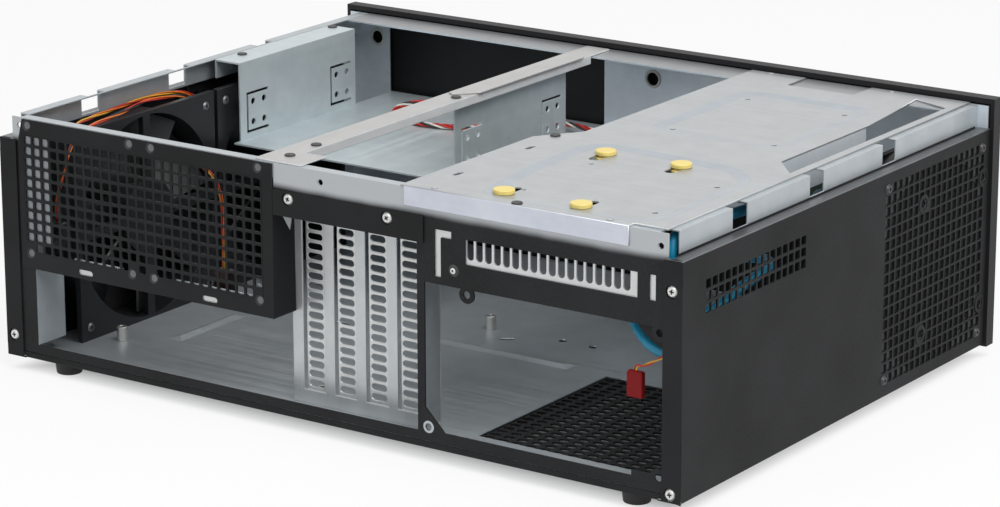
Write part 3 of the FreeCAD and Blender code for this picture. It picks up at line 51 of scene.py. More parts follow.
def srgb(code):
    """Turn an sRGB hex colour into the linear colour that a shader takes."""
    parts = [int(code[place:place + 2], 16) / 255 for place in (1, 3, 5)]
    return [part / 12.92 if part <= 0.04045 else ((part + 0.055) / 1.055) ** 2.4 for part in parts] + [1.0]


def put(thing, **values):
    """Set several properties of a thing, and give it back."""
    for name, value in values.items():
        setattr(thing, name, value)
    return thing


def new_piece(name, data):
    """Put a mesh, a curve or a lamp in the scene as an object at the origin."""
    made = bpy.data.objects.new(name, data)
    scene.collection.objects.link(made)
    return made


def mesh_of(name, corners, faces=(), *finishes):
    """A mesh with its finishes, from corners in metres."""
    made = bpy.data.meshes.new(name)
    made.from_pydata(corners, [], faces)
    for finish in finishes:
        made.materials.append(finish)
    return made


def poured(name, shape, *finishes):
    """Turn a working shape into a mesh with its finishes, and let the shape go."""
    made = mesh_of(name, (), (), *finishes)
    shape.to_mesh(made)
    shape.free()
    return made


def feed(tree, node, **inputs):
    """Fill or link the inputs of a node: _ is a space, n3 is input number 3."""
    for name, value in inputs.items():
        numbered = name[0] == "n" and name[1:].isdigit()
        socket = node.inputs[int(name[1:]) if numbered else name.replace("_", " ")]
        several = isinstance(value, tuple) and isinstance(value[0], bpy.types.NodeSocket)
        for part in value if several else (value,):
            if isinstance(part, bpy.types.NodeSocket):
                tree.links.new(part, socket)
            else:
                socket.default_value = part


def add(tree, kind, settings=None, **inputs):
    """Add a node with its properties and inputs: a kind without Node in it is of the tree's own family."""
    family = "" if "Node" in kind else tree.bl_idname.replace("Tree", "")
    made = put(tree.nodes.new(family + kind), **(settings or {}))
    feed(tree, made, **inputs)
    return made


def flow(tree, kind, settings=None, **inputs):
    """Add a node, and give back its first output."""
    return add(tree, kind, settings, **inputs).outputs[0]


def sums(tree, operation, *values):
    """The outcome of a maths node on numbers and links."""
    numbered = {f"n{place}": value for place, value in enumerate(values)}
    return flow(tree, "ShaderNodeMath", {"operation": operation}, **numbered)


def ranged(tree, value, low, high, start=0.0, end=1.0, way="LINEAR"):
    """A value that runs between two ends, stretched to run between two others."""
    return flow(tree, "MapRange", {"interpolation_type": way}, Value=value, From_Min=low,
                From_Max=high, To_Min=start, To_Max=end)


def spot_on(tree):
    """Where on its object a shaded point lies."""
    return add(tree, "TexCoord").outputs["Object"]


def direct_view(tree):
    """One where the camera, a reflection or a clear part looks straight at a surface, else nought."""
    path = add(tree, "LightPath").outputs
    seen = sums(tree, "MAXIMUM", path["Is Camera Ray"], path["Is Glossy Ray"])
    return sums(tree, "MAXIMUM", seen, path["Is Transmission Ray"])


FILL_TOP = 0.52
FILL_SIDE = 0.2
world = bpy.data.worlds.new("studio")
world.use_nodes = True
scene.world = world
sky = world.node_tree
aim = add(sky, "TexCoord").outputs["Generated"]
climb = add(sky, "SeparateXYZ", Vector=aim).outputs["Z"]
fill = ranged(sky, climb, -0.1, 0.7, FILL_SIDE, FILL_TOP)
level = ranged(sky, direct_view(sky), 0.0, 1.0, fill, 1.0)
feed(sky, sky.nodes["Background"], Color=srgb("#ffffff"), Strength=level)

LAMPS = {
    "key": ((-1.1, 0.5, 1.7), 1.4, 29.0),
    "rear": ((0.6, 1.7, 1.9), 1.6, 6.5),
}
LAMPS_AIM = Vector((0, 0, 0.08))
for name, (place, side, power) in LAMPS.items():
    lamp = new_piece(name, put(bpy.data.lights.new(name, "AREA"), size=side, energy=power))
    turn = (LAMPS_AIM - Vector(place)).to_track_quat("-Z", "Y").to_euler()
    put(lamp, location=place, rotation_euler=turn)

PAPER_SHADE = 0.14
UNDER_CASE = (0.205, 0.15, 0.0)
FLOOR_CORNERS = [(-4, -4, 0), (4, -4, 0), (4, 4, 0), (-4, 4, 0)]
paper = bpy.data.materials.new("white_paper")
paper.use_nodes = True
sheet = paper.node_tree
sheet.nodes.clear()
matt = flow(sheet, "BsdfDiffuse", Color=srgb("#f4f4f4"))
glow = flow(sheet, "Emission", Color=srgb("#ffffff"), Strength=1.0)
# The paper's own white stops under the case, so that the slots in its floor look into the dark
from_middle = flow(sheet, "VectorMath", {"operation": "ABSOLUTE"}, n0=spot_on(sheet))
beyond = flow(sheet, "VectorMath", {"operation": "SUBTRACT"}, n0=from_middle, n1=UNDER_CASE)
sides = add(sheet, "SeparateXYZ", Vector=beyond).outputs
outside = sums(sheet, "MAXIMUM", sides["X"], sides["Y"])
clear = ranged(sheet, outside, -0.02, 0.015, 0.0, 1 - PAPER_SHADE)
white_share = sums(sheet, "MULTIPLY", direct_view(sheet), clear)
mixed = flow(sheet, "MixShader", n0=white_share, n1=matt, n2=glow)
add(sheet, "OutputMaterial", Surface=mixed)
floor = new_piece("floor", mesh_of("floor", FLOOR_CORNERS, [(0, 1, 2, 3)], paper))

CAMERA_AT = (-1115.5, 1613.9, 626.2)
CAMERA_TURN = 214.666
CAMERA_RISE = 16.044
CAMERA_ROLL = -0.122
lens = put(bpy.data.cameras.new("camera"), sensor_width=36, lens=133.68, clip_end=50)
camera = new_piece("camera", lens)
camera.matrix_world = (Matrix.Translation(Vector(CAMERA_AT) * MM)
                       @ Matrix.Rotation(math.radians(CAMERA_TURN), 4, "Z")
                       @ Matrix.Rotation(math.radians(90 - CAMERA_RISE), 4, "X")
                       @ Matrix.Rotation(math.radians(CAMERA_ROLL), 4, "Z"))
scene.camera = camera

# Base tray: the floor of the case, a 1 mm sheet of zinc-coated steel with two stamped ribs.
# Its power-supply opening and the slots for cable ties are punched before the ribs are pressed.


def surface(name, colour, metallic, roughness, **more):
    """Start a material from its name and the values that are the same all over it."""
    made = bpy.data.materials.new(name)
    made.use_nodes = True
    tree = made.node_tree
    shader = tree.nodes["Principled BSDF"]
    feed(tree, shader, Base_Color=srgb(colour), Metallic=metallic, Roughness=roughness, **more)
    return made, tree, shader


def noise(tree, spot, size_mm, detail, **more):
    """Soft noise with lumps of about a size in mm."""
    return flow(tree, "TexNoise", Vector=spot, Scale=1 / (size_mm * MM), Detail=detail, **more)


def between(tree, share, one, two):
    """A colour that goes from one to another by a share."""
    return add(tree, "Mix", {"data_type": "RGBA"}, n0=share, n6=one, n7=two).outputs[2]


def bumped(tree, height, strength, depth_mm):
    """The surface direction that a height gives."""
    return flow(tree, "Bump", Height=height, Strength=strength, Distance=depth_mm * MM)


def zinc_sheet(name, pale, deep, rolled, metallic=0.6):
    """Electro-galvanised steel: satin metal, mottled by the bath and streaked along the rolling."""
    made, tree, shader = surface(name, pale, metallic, 0.36)
    spot = spot_on(tree)
    mottle = noise(tree, spot, 14, 4.0, Roughness=0.6)
    streak_mm = [160 if axis == rolled else 2.5 for axis in "XYZ"]
    run = flow(tree, "Mapping", Vector=spot, Scale=[1 / (side * MM) for side in streak_mm])
    streak = flow(tree, "TexNoise", Vector=run, Scale=1.0, Detail=3.0)
    blend = sums(tree, "MULTIPLY_ADD", streak, 0.35, mottle)
    tone = between(tree, ranged(tree, blend, 0.4, 0.95), srgb(deep), srgb(pale))
    gloss = ranged(tree, streak, 0.3, 0.7, 0.3, 0.44)
    feed(tree, shader, Base_Color=tone, Roughness=gloss, Normal=bumped(tree, streak, 0.12, 0.05))
    return made


def keep(piece, slot, *nodes, body="case"):
    """Say which body carries a finished piece and hide the CAD nodes that it stands for; the slot is not
    used.
    """
    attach(piece, body)
    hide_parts(*nodes)


def baked(made):
    """Turn an object's evaluated shape into a plain mesh, and remove the object."""
    bpy.context.view_layer.update()
    mesh = bpy.data.meshes.new_from_object(made.evaluated_get(bpy.context.evaluated_depsgraph_get()))
    bpy.data.objects.remove(made)
    return mesh


def seat(axis, start):
    """Stand a flat pattern across X, Y or Z: its thickness runs on from a start in mm, or back for Y."""
    rows = {"X": ((0, 0, 1), (1, 0, 0), (0, 1, 0)), "Y": ((1, 0, 0), (0, 0, -1), (0, 1, 0)),
            "Z": ((1, 0, 0), (0, 1, 0), (0, 0, 1))}[axis]
    shift = [start if name == axis else 0 for name in "XYZ"]
    return Matrix.Translation(Vector(shift) * MM) @ Matrix(rows).to_4x4()


def ring(x, y, radius, steps=16):
    """Points of a round hole."""
    angles = [2 * math.pi * step / steps for step in range(steps)]
    return [(x + radius * math.cos(angle), y + radius * math.sin(angle)) for angle in angles]


def slotted(x, y, long, wide, turn=0.0, steps=6):
    """Points of a round-ended slot whose middle line is turned by an angle in degrees."""
    run = (long - wide) / 2
    across, up = math.cos(math.radians(turn)), math.sin(math.radians(turn))
    points = []
    for end, first in ((1, -90), (-1, 90)):
        for step in range(steps + 1):
            angle = math.radians(first + 180 * step / steps)
            u = end * run + wide / 2 * math.cos(angle)
            v = wide / 2 * math.sin(angle)
            points.append((x + u * across - v * up, y + u * up + v * across))
    return points


def oblong(u, v):
    """Corners of a rectangle between two pairs of ends."""
    return [(u[0], v[0]), (u[1], v[0]), (u[1], v[1]), (u[0], v[1])]


def plate(outline, holes, place, finish, thickness=1.0, edge=0.25):
    """A flat blank in mm: an outline with holes, given a thickness and broken edges and stood in place."""
    curve = put(bpy.data.curves.new("blank", "CURVE"), dimensions="2D", fill_mode="BOTH", bevel_resolution=0,
                extrude=(thickness / 2 - edge) * MM, bevel_depth=edge * MM, offset=-edge * MM)
    for number, loop in enumerate([outline] + list(holes)):
        area = sum(a[0] * b[1] - b[0] * a[1] for a, b in zip(loop, loop[1:] + loop[:1]))
        points = loop if (area > 0) == (number == 0) else loop[::-1]
        spline = curve.splines.new("POLY")
        spline.points.add(len(points) - 1)
        for point, (u, v) in zip(spline.points, points):
            point.co = (u * MM, v * MM, 0, 1)
        spline.use_cyclic_u = True
    mesh = baked(new_piece("blank", curve))
    mesh.transform(place @ Matrix.Translation((0, 0, thickness / 2 * MM)))
    mesh.materials.clear()
    mesh.materials.append(finish)
    return mesh


def strip(axis, start, u, v, finish, thickness=1.0, edge=0.25):
    """A rectangular blank without holes."""
    return plate(oblong(u, v), [], seat(axis, start), finish, thickness, edge)


def joined(name, *meshes):
    """Put several meshes together as one piece, each with its own materials."""
    finishes = []
    whole = bmesh.new()
    for mesh in meshes:
        places = []
        for finish in mesh.materials:
            if finish not in finishes:
                finishes.append(finish)
            places.append(finishes.index(finish))
        first = len(whole.faces)
        whole.from_mesh(mesh)
        whole.faces.ensure_lookup_table()
        for face in whole.faces[first:]:
            face.material_index = places[face.material_index]
        bpy.data.meshes.remove(mesh)
    return new_piece(name, poured(name, whole, *finishes))


def fitted(name, slot, nodes, *meshes):
    """Join meshes as one piece of the case that stands for CAD nodes, or for none."""
    keep(joined(name, *meshes), slot, *nodes)


def pressed_bar(low, high, slope, finish):
    """A stamped rib: a block between two corners in mm, its top drawn in by a slope on each side."""
    corners = []
    for z, drawn in ((low[2], 0), (high[2], slope)):
        for x, y in oblong((low[0] + drawn, high[0] - drawn), (low[1] + drawn, high[1] - drawn)):
            corners.append((x * MM, y * MM, z * MM))
    faces = [(3, 2, 1, 0), (4, 5, 6, 7), (0, 1, 5, 4), (1, 2, 6, 5), (2, 3, 7, 6), (3, 0, 4, 7)]
    return mesh_of("rib", corners, faces, finish)


FLOOR_Z = 10.0
RIB_TOP = FLOOR_Z + 1.2
RIB_SLOPE = 4.0
AIR_X = (-200, -80)
AIR_Y = (16, 136)
TIE_SLOTS = [(179, -15, 0), (152, -36, 0), (96, 18, 0), (2.2, -9.1, 30), (-10, 78, 0)]
FLOOR_SCREWS = [(-25, -24), (-45.4, -23.6), (-60, -120), (110, -100)]
zinc = zinc_sheet("zinc_coated_steel", "#bbc1c5", "#abb2b6", "X", 0.5)
floor_holes = [oblong(AIR_X, AIR_Y)] + [slotted(x, y, 9, 3, turn) for x, y, turn in TIE_SLOTS]
floor_holes += [ring(x, y, 2.2) for x, y in FLOOR_SCREWS]
fitted(
    "base_tray_pressing", "zinc_sheet", ["base_tray"],
    plate(oblong((-216.8, 216.8), (-153.5, 160.5)), floor_holes, seat("Z", FLOOR_Z - 1), zinc),
    pressed_bar((149.5, 39, FLOOR_Z), (158.5, 96, RIB_TOP), RIB_SLOPE, zinc),
    pressed_bar((-55.5, 9.5, FLOOR_Z), (35.5, 18.5, RIB_TOP), RIB_SLOPE, zinc),
)

# Rear hem of the tray and the perforated plate under the power-supply opening.
# Both are black powder coat baked on steel, and the plate's holes are punched in straight rows.


def powder_coat(name, bare=None):
    """Black powder coat: a matt skin of fused grains, thinned to bare zinc between two heights if given."""
    made, tree, shader = surface(name, "#1c1d1f", 0.0, 0.6, Specular_IOR_Level=0.2)
    spot = spot_on(tree)
    # Real grains are about 0.3 mm, drawn at 1 mm so that they show
    grain = noise(tree, spot, 1.0, 2.0)
    cloud = noise(tree, spot, 45, 3.0)
    speck = sums(tree, "MULTIPLY_ADD", grain, 0.75, cloud)
    colour = between(tree, ranged(tree, speck, 0.6, 1.15), srgb("#121314"), srgb("#232426"))
    rough = ranged(tree, grain, 0.3, 0.7, 0.5, 0.7)
    if bare:
        height = add(tree, "SeparateXYZ", Vector=spot).outputs["Z"]
        wander = sums(tree, "MULTIPLY_ADD", cloud, 3 * MM, height)
        worn = ranged(tree, wander, (bare[0] + 1.5) * MM, (bare[1] + 1.5) * MM, way="SMOOTHSTEP")
        colour = between(tree, worn, colour, srgb("#b6babd"))
        rough = ranged(tree, worn, 0.0, 1.0, 0.5, 0.36)
        feed(tree, shader, Metallic=sums(tree, "MULTIPLY", worn, 0.5))
    feed(tree, shader, Base_Color=colour, Roughness=rough, Normal=bumped(tree, grain, 0.45, 0.12))
    return made


def new_tree(name, lengths, **others):
    """An empty geometry tree with a mesh, lengths and other named things going in, and a mesh going out."""
    tree = bpy.data.node_groups.new(name, "GeometryNodeTree")
    kinds = {"Geometry": "Geometry", **dict.fromkeys(lengths, "Float"), **others}
    for given, kind in kinds.items():
        tree.interface.new_socket(given, in_out="INPUT", socket_type=f"NodeSocket{kind}")
    tree.interface.new_socket("Geometry", in_out="OUTPUT", socket_type="NodeSocketGeometry")
    return tree, add(tree, "NodeGroupInput").outputs


def perforation_tree():
    """Cells with a rounded hole each on the points of a mesh, and plain cells on the points marked blank."""
    lengths = ("Cell Wide", "Cell Tall", "Hole Wide", "Hole Tall", "Hole Corner", "Thickness")
    tree, given = new_tree("perforated_field", lengths, Material="Material")
    rim = flow(tree, "CurvePrimitiveQuadrilateral", Width=given["Cell Wide"], Height=given["Cell Tall"])
    punch = flow(tree, "CurvePrimitiveQuadrilateral", Width=given["Hole Wide"], Height=given["Hole Tall"])
    hole = flow(tree, "FilletCurve", {"mode": "POLY"}, Curve=punch, Count=2, Radius=given["Hole Corner"])
    outlines = flow(tree, "JoinGeometry", Geometry=(rim, hole))
    open_cell = flow(tree, "FillCurve", {"mode": "NGONS"}, Curve=outlines)
    shut_cell = flow(tree, "FillCurve", {"mode": "NGONS"}, Curve=rim)
    blank = flow(tree, "InputNamedAttribute", {"data_type": "BOOLEAN"}, Name="blank")
    pierced = flow(tree, "FunctionNodeBooleanMath", {"operation": "NOT"}, n0=blank)
    fields = []
    for chosen, cell in ((pierced, open_cell), (blank, shut_cell)):
        placed = flow(tree, "InstanceOnPoints", Points=given["Geometry"], Selection=chosen, Instance=cell)
        fields.append(placed)
    field = flow(tree, "JoinGeometry", Geometry=tuple(fields))
    real = flow(tree, "RealizeInstances", Geometry=field)
    skin = flow(tree, "MergeByDistance", Geometry=real, Distance=0.02 * MM)
    raised = flow(tree, "ExtrudeMesh", {"mode": "FACES"}, Mesh=skin,
                  Offset_Scale=given["Thickness"], Individual=False)
    under = flow(tree, "FlipFaces", Mesh=skin)
    both = flow(tree, "JoinGeometry", Geometry=(raised, under))
    closed = flow(tree, "MergeByDistance", Geometry=both, Distance=0.02 * MM)
    dressed = flow(tree, "SetMaterial", Geometry=closed, Material=given["Material"])
    add(tree, "NodeGroupOutput", Geometry=dressed)
    return tree


PERFORATION = perforation_tree()


def run_tree(made, tree, values):
    """Give an object a node tree with its named inputs, and return what comes out as a plain mesh."""
    work = made.modifiers.new("work", "NODES")
    work.node_group = tree
    for item in tree.interface.items_tree:
        if item.in_out == "INPUT" and item.name in values:
            work[item.identifier] = values[item.name]
    return baked(made)


def spread(low, high, count):
    """The middles of a number of equal steps between two ends."""
    step = (high - low) / count
    return [low + step * (number + 0.5) for number in range(count)]


def perforated(u, v, counts, hole, corner, place, finish, lands=()):
    """A punched field between two pairs of ends in mm: hole sides and corner, and round lands left whole."""
    middles = [(a, b) for a in spread(*u, counts[0]) for b in spread(*v, counts[1])]
    points = mesh_of("middles", [(a * MM, b * MM, 0) for a, b in middles])
    marks = points.attributes.new("blank", "BOOLEAN", "POINT")
    for mark, (a, b) in zip(marks.data, middles):
        mark.value = any(math.hypot(a - x, b - y) < reach for x, y, reach in lands)
    sizes = {"Cell Wide": (u[1] - u[0]) / counts[0], "Cell Tall": (v[1] - v[0]) / counts[1],
             "Hole Wide": hole[0], "Hole Tall": hole[1], "Hole Corner": corner, "Thickness": 1.0}
    values = {name: size * MM for name, size in sizes.items()}
    mesh = run_tree(new_piece("field", points), PERFORATION, {**values, "Material": finish})
    mesh.transform(place)
    return mesh


# The rear panel's face, and the face of what lies on it
PANEL_FACE = 161.5
REAR_FACE = 162.5
VENT_Z = 8.0
VENT_CELLS = (14, 20)
black = powder_coat("black_powder_coat")
fitted("tray_hem", "black_coat", [], strip("Y", PANEL_FACE, (-207.3, 206.4), (8.0, 11.4), black))
fitted(
    "psu_vent_plate", "black_coat", ["psu_vent_grille"],
    plate(oblong((-203, -77), (13, 139)), [oblong(AIR_X, AIR_Y)], seat("Z", VENT_Z), black),
    perforated(AIR_X, AIR_Y, VENT_CELLS, (6.4, 4.0), 1.9, seat("Z", VENT_Z), black),
)

# Rear panel: one stamped sheet, coated black outside with the coat thinning to bare zinc under the top edge.
# It carries the power-supply opening, the recess for the cards and the screws of the side panels.


def sheet_copy(name, node, edge, *finishes, choose=None, turned=False):
    """Copy a CAD node with broken edges: a rule picks the faces of the second finish, turned smooths it."""
    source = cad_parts[node].data
    mesh = mesh_of(name, [vertex.co[:] for vertex in source.vertices],
                   [face.vertices[:] for face in source.polygons], *finishes)
    shape = bmesh.new()
    shape.from_mesh(mesh)
    bmesh.ops.remove_doubles(shape, verts=shape.verts, dist=0.002 * MM)
    bmesh.ops.dissolve_limit(shape, angle_limit=math.radians(0.6), verts=shape.verts, edges=shape.edges)
    if choose:
        for face in shape.faces:
            face.material_index = int(choose(face.normal, face.calc_center_median() / MM))
    shape.to_mesh(mesh)
    shape.free()
    if turned:
        mesh.shade_smooth()
        mesh.set_sharp_from_angle(angle=math.radians(38))
    made = new_piece(name, mesh)
    put(made.modifiers.new("edges", "BEVEL"), width=edge * MM, segments=2, limit_method="ANGLE",
        angle_limit=math.radians(40), use_clamp_overlap=True)
    return made


def stand_in(name, node, edge, slot, *finishes, body="case", **options):
    """Copy a CAD node as a finished piece that stands for it."""
    made = sheet_copy(name, node, edge, *finishes, **options)
    keep(made, slot, node, body=body)
    return made


def drilled(made, facing, spots, finish):
    """Cut round holes in a piece, each a spot in mm with mouth and bore radii, and finish their sides."""
    tools = bmesh.new()
    turn = Vector(facing).to_track_quat("Z", "Y").to_matrix().to_4x4()
    for spot, mouth, bore in spots:
        for low, high, depth, lift in ((bore, bore, 6.0, -2.0), (bore, mouth, 0.9, -0.4)):
            place = Matrix.Translation((Vector(spot) + Vector(facing) * lift) * MM) @ turn
            bmesh.ops.create_cone(tools, cap_ends=True, segments=20, radius1=low * MM, radius2=high * MM,
                                  depth=depth * MM, matrix=place)
    cutter = new_piece("drills", poured("drills", tools, finish))
    put(made.modifiers.new("holes", "BOOLEAN"), operation="DIFFERENCE", solver="EXACT", use_self=True,
        material_mode="TRANSFER", object=cutter)
    name = made.name
    result = baked(made)
    bpy.data.objects.remove(cutter)
    return new_piece(name, result)


COVER_HOLES = [(-205.0, 137.3), (204.0, 139.5), (0.3, 138.0)]
SUPPLY_GUSSET = [(-189.0, 97.0), (-190.6, 95.4), (-194.6, 91.4), (-199.3, 87.7), (-204.5, 85.0),
                 (-208.5, 84.5), (-208.5, 97.0)]
faded = powder_coat("black_powder_coat_thinned", bare=(129.5, 134.5))
# A darker copy of the zinc: painted shade for sheet that lies behind the pan and the rear panel
shaded_zinc = zinc_sheet("zinc_coated_steel_painted_shade", "#8f9396", "#7f8386", "Z")
rear = sheet_copy("rear_panel_pressing", "rear_panel", 0.3, faded, zinc,
                  choose=lambda normal, spot: normal.y < -0.5 or spot.y < 160)
rear = drilled(rear, (0, 1, 0), [((x, PANEL_FACE, z), 1.7, 1.6) for x, z in COVER_HOLES], zinc)
keep(rear, "black_coat", "rear_panel")
fitted(
    "rear_panel_bare_ring_and_painted_light", "zinc_sheet", [],
    plate(ring(-66.7, 19.4, 3.3), [ring(-66.7, 19.4, 2.0)], seat("Y", 161.56), zinc, 0.1, 0.02),
    # A grey strip just behind the grille's columns next to the left wall is painted light: it stands in for
    # the lit inner side wall seen through the cells
    strip("Y", 161.6, (182.8, 204.4), (75.0, 135.2), shaded_zinc, 0.5, 0.05),
)
fitted("supply_corner_gusset", "black_coat", [], plate(SUPPLY_GUSSET, [], seat("Y", 159.5), black))

# Vent strip: a bright plated strip with upright slots, spot-welded behind the window over the power supply.
bright = zinc_sheet("bright_plated_steel", "#d8dad9", "#c8cbcb", "Z")
stand_in("vent_strip_pressing", "vent_strip", 0.2, "bright_sheet", bright)

# Rear fan grille: a black coated pan over two 80 mm fan places, with square holes between the screw holes.
# Two bare slots under the field hook it on, and its right and lower returns stiffen it.
GRILLE_X = (38.0, 201.0)
GRILLE_Z = (69.0, 135.0)
GRILLE_CELLS = (27, 11)
HOOK_FACE = 161.4
PAN_OUTLINE = [(31.0, 60.0), (204.8, 60.0), (204.8, 131.0), (201.8, 143.4), (31.0, 143.4)]
dimples = [(x, z) for x in (198.3, 126.8, 111.9, 40.4) for z in (68.7, 140.2)]
pan_holes = [oblong(GRILLE_X, GRILLE_Z), slotted(160, 63.6, 10.5, 3.2), slotted(74.3, 63.4, 10.5, 3.2)]
worn_coat = zinc_sheet("worn_powder_coat_rim", "#3a3b3d", "#2c2d2f", "X")
backing = []
for finish, levels, runs in ((bright, (61.6, 66.0), ((153.6, 166.0), (68.6, 80.0))),
                             (zinc, (69.3, 70.5), ((134.0, 168.0), (46.0, 100.0)))):
    for across in runs:
        backing.append(strip("Y", HOOK_FACE, across, levels, finish, 0.5, 0.1))
pan = joined(
    "rear_fan_pan",
    plate(PAN_OUTLINE, pan_holes, seat("Y", REAR_FACE), black),
    perforated(GRILLE_X, GRILLE_Z, GRILLE_CELLS, (4.6, 4.6), 0.9, seat("Y", REAR_FACE), black,
               lands=[(x, z, 4.2) for x, z in dimples]),
    strip("X", 31.0, (143.6, 162.0), (60.0, 135.8), black),
    strip("Z", 60.0, (31.0, 195.8), (143.6, 162.0), black),
    *backing,
)
pan = drilled(pan, (0, 1, 0), [((x, REAR_FACE, z), 3.0, 1.8) for x, z in dimples], worn_coat)
keep(pan, "black_coat", "rear_fan_grille")
# Plain steel's own grey, darkened further as painted shade for the weld nuts down in the dimple holes; the
# fan screw tips take it too
nut_steel_with_painted_shade = zinc_sheet("plain_steel_nut_with_painted_shade", "#77797b", "#646668", "Z")
weld_nuts = [plate(ring(x, z, 2.6), [], seat("Y", 161.8), nut_steel_with_painted_shade, 0.9, 0.1) for x, z in dimples]
fitted("pan_weld_nuts", "zinc_sheet", [], *weld_nuts)

# Slot panel: the bare zinc floor of the card recess, with four windows and a flange that the covers hang on.
SLOT_GUSSET = [(19.8, 118.2), (21.4, 109.3), (28.0, 119.2)]
# The slot panel's zinc is drawn lighter than the tray's: painted light
recess_painted_light_zinc = zinc_sheet("zinc_coated_steel_recess_painted_light", "#ccd0d1", "#bdc1c3", "Z", 0.5)
stand_in("slot_panel_pressing", "slot_panel", 0.3, "zinc_sheet", recess_painted_light_zinc)
# The gusset takes the darker copy of the zinc: painted shade
fitted("slot_gusset", "zinc_sheet", [], plate(SLOT_GUSSET, [], seat("Y", 160.5), shaded_zinc))

# Slot covers: four bright plated strips, each with eighteen round-ended slots and a tab over the flange.
SLOT_LEVELS = spread(18.7, 115.0, 18)
for number in range(1, 5):
    low, high = (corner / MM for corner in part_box(f"slot_cover_{number}"))
    middle = (low.x + high.x) / 2
    openings = [slotted(middle - 0.6, z, 9.7, 3.6) for z in SLOT_LEVELS]
    fitted(
        f"slot_cover_{number}_strip", "bright_sheet", [f"slot_cover_{number}"],
        plate(oblong((middle - 9.0, middle + 5.4), (low.z, high.z)), openings, seat("Y", low.y + 1), bright),
        strip("Z", high.z - 1, (middle - 9, middle + 9), (low.y, high.y), bright),
    )

# Card clamp: a black coated strip over the heads of the slots, held by two bright screws.
stand_in("card_clamp_strip", "card_clamp", 0.3, "black_coat", black)

# Side panels: coated walls folded inwards at the rear, top and bottom, bare zinc on the inside.
# Fans sit behind punched square fields, and the right wall has a small vent near its rear edge.


def cells(axis, sign, at, lines_u, lines_v, openings=()):
    """Rectangles of a flat sheet between two sets of lines in mm, facing one way, with openings left out."""
    faces = []
    for u in zip(lines_u, lines_u[1:]):
        for v in zip(lines_v, lines_v[1:]):
            middle = (sum(u) / 2, sum(v) / 2)
            if any(a[0] < middle[0] < a[1] and b[0] < middle[1] < b[1] for a, b in openings):
                continue
            spots = [{"X": (at, p, q), "Y": (p, at, q), "Z": (p, q, at)}[axis] for p, q in oblong(u, v)]
            faces.append(spots if (sign > 0) != (axis == "Y") else spots[::-1])
    return faces


def folded(faces, outside, inside, sharp):
    """Fold a sheet from flat rectangles: thick inwards, bends rounded, outer edges broken, inside bare."""
    shape = bmesh.new()
    for face in faces:
        shape.faces.new([shape.verts.new(Vector(spot) * MM) for spot in face])
    bmesh.ops.remove_doubles(shape, verts=shape.verts, dist=0.01 * MM)
    weights = []
    for edge in shape.edges:
        middle = (edge.verts[0].co + edge.verts[1].co) / 2 / MM
        whole = any(all(a - 0.1 < m < b + 0.1 for a, b, m in zip(low, high, middle)) for low, high in sharp)
        if edge.is_boundary:
            weights.append(0.0 if whole else 0.35)
        else:
            weights.append(1.0 if edge.calc_face_angle() > 0.5 else 0.0)
    mesh = poured("folded", shape, outside, inside)
    store = mesh.attributes.new("bevel_weight_edge", "FLOAT", "EDGE")
    store.data.foreach_set("value", weights)
    made = new_piece("folded", mesh)
    put(made.modifiers.new("thickness", "SOLIDIFY"), thickness=1.0 * MM, offset=-1, use_even_offset=True,
        material_offset=1)
    put(made.modifiers.new("bends", "BEVEL"), width=0.9 * MM, segments=3, limit_method="WEIGHT")
    return baked(made)


WALL_X = 218.0
WALL_Y = (-154.5, REAR_FACE)
WALL_Z = (8.0, 131.5)
LEDGE_X = 210.5
LOWER_LIP_X = 205.0
GUARD_CELLS = (18, 18)
GUARD_PITCH = 6.15
GUARD_HALF = GUARD_CELLS[0] * GUARD_PITCH / 2
FAN_MIDDLES = {1: (70.0, -53.0), -1: (-93.0,)}
FAN_LEVEL = 70.0
FAN_HOLE = 52.5
SIDE_VENT = ((43.9, 141.5), (99.8, 118.3))
SIDE_VENT_CELLS = (16, 3)
FLANGE_END = {1: 206.6, -1: -206.9}
FLANGE_SCREWS = {1: (213.0, 20.0), -1: (-211.8, 12.2, 115.6)}
PATCH_WIDE = 3.7
PATCH_TALL = 3.8
SMALL_FAN = [(-80.0, 105.5), (-80.0, 33.0), (-148.0, 105.5), (-148.0, 33.5)]


def fan_corners(y):
    """Where the four screws of a fan sit, in Y and Z."""
    return [(y + across, FAN_LEVEL + up) for across in (-FAN_HOLE, FAN_HOLE) for up in (-FAN_HOLE, FAN_HOLE)]
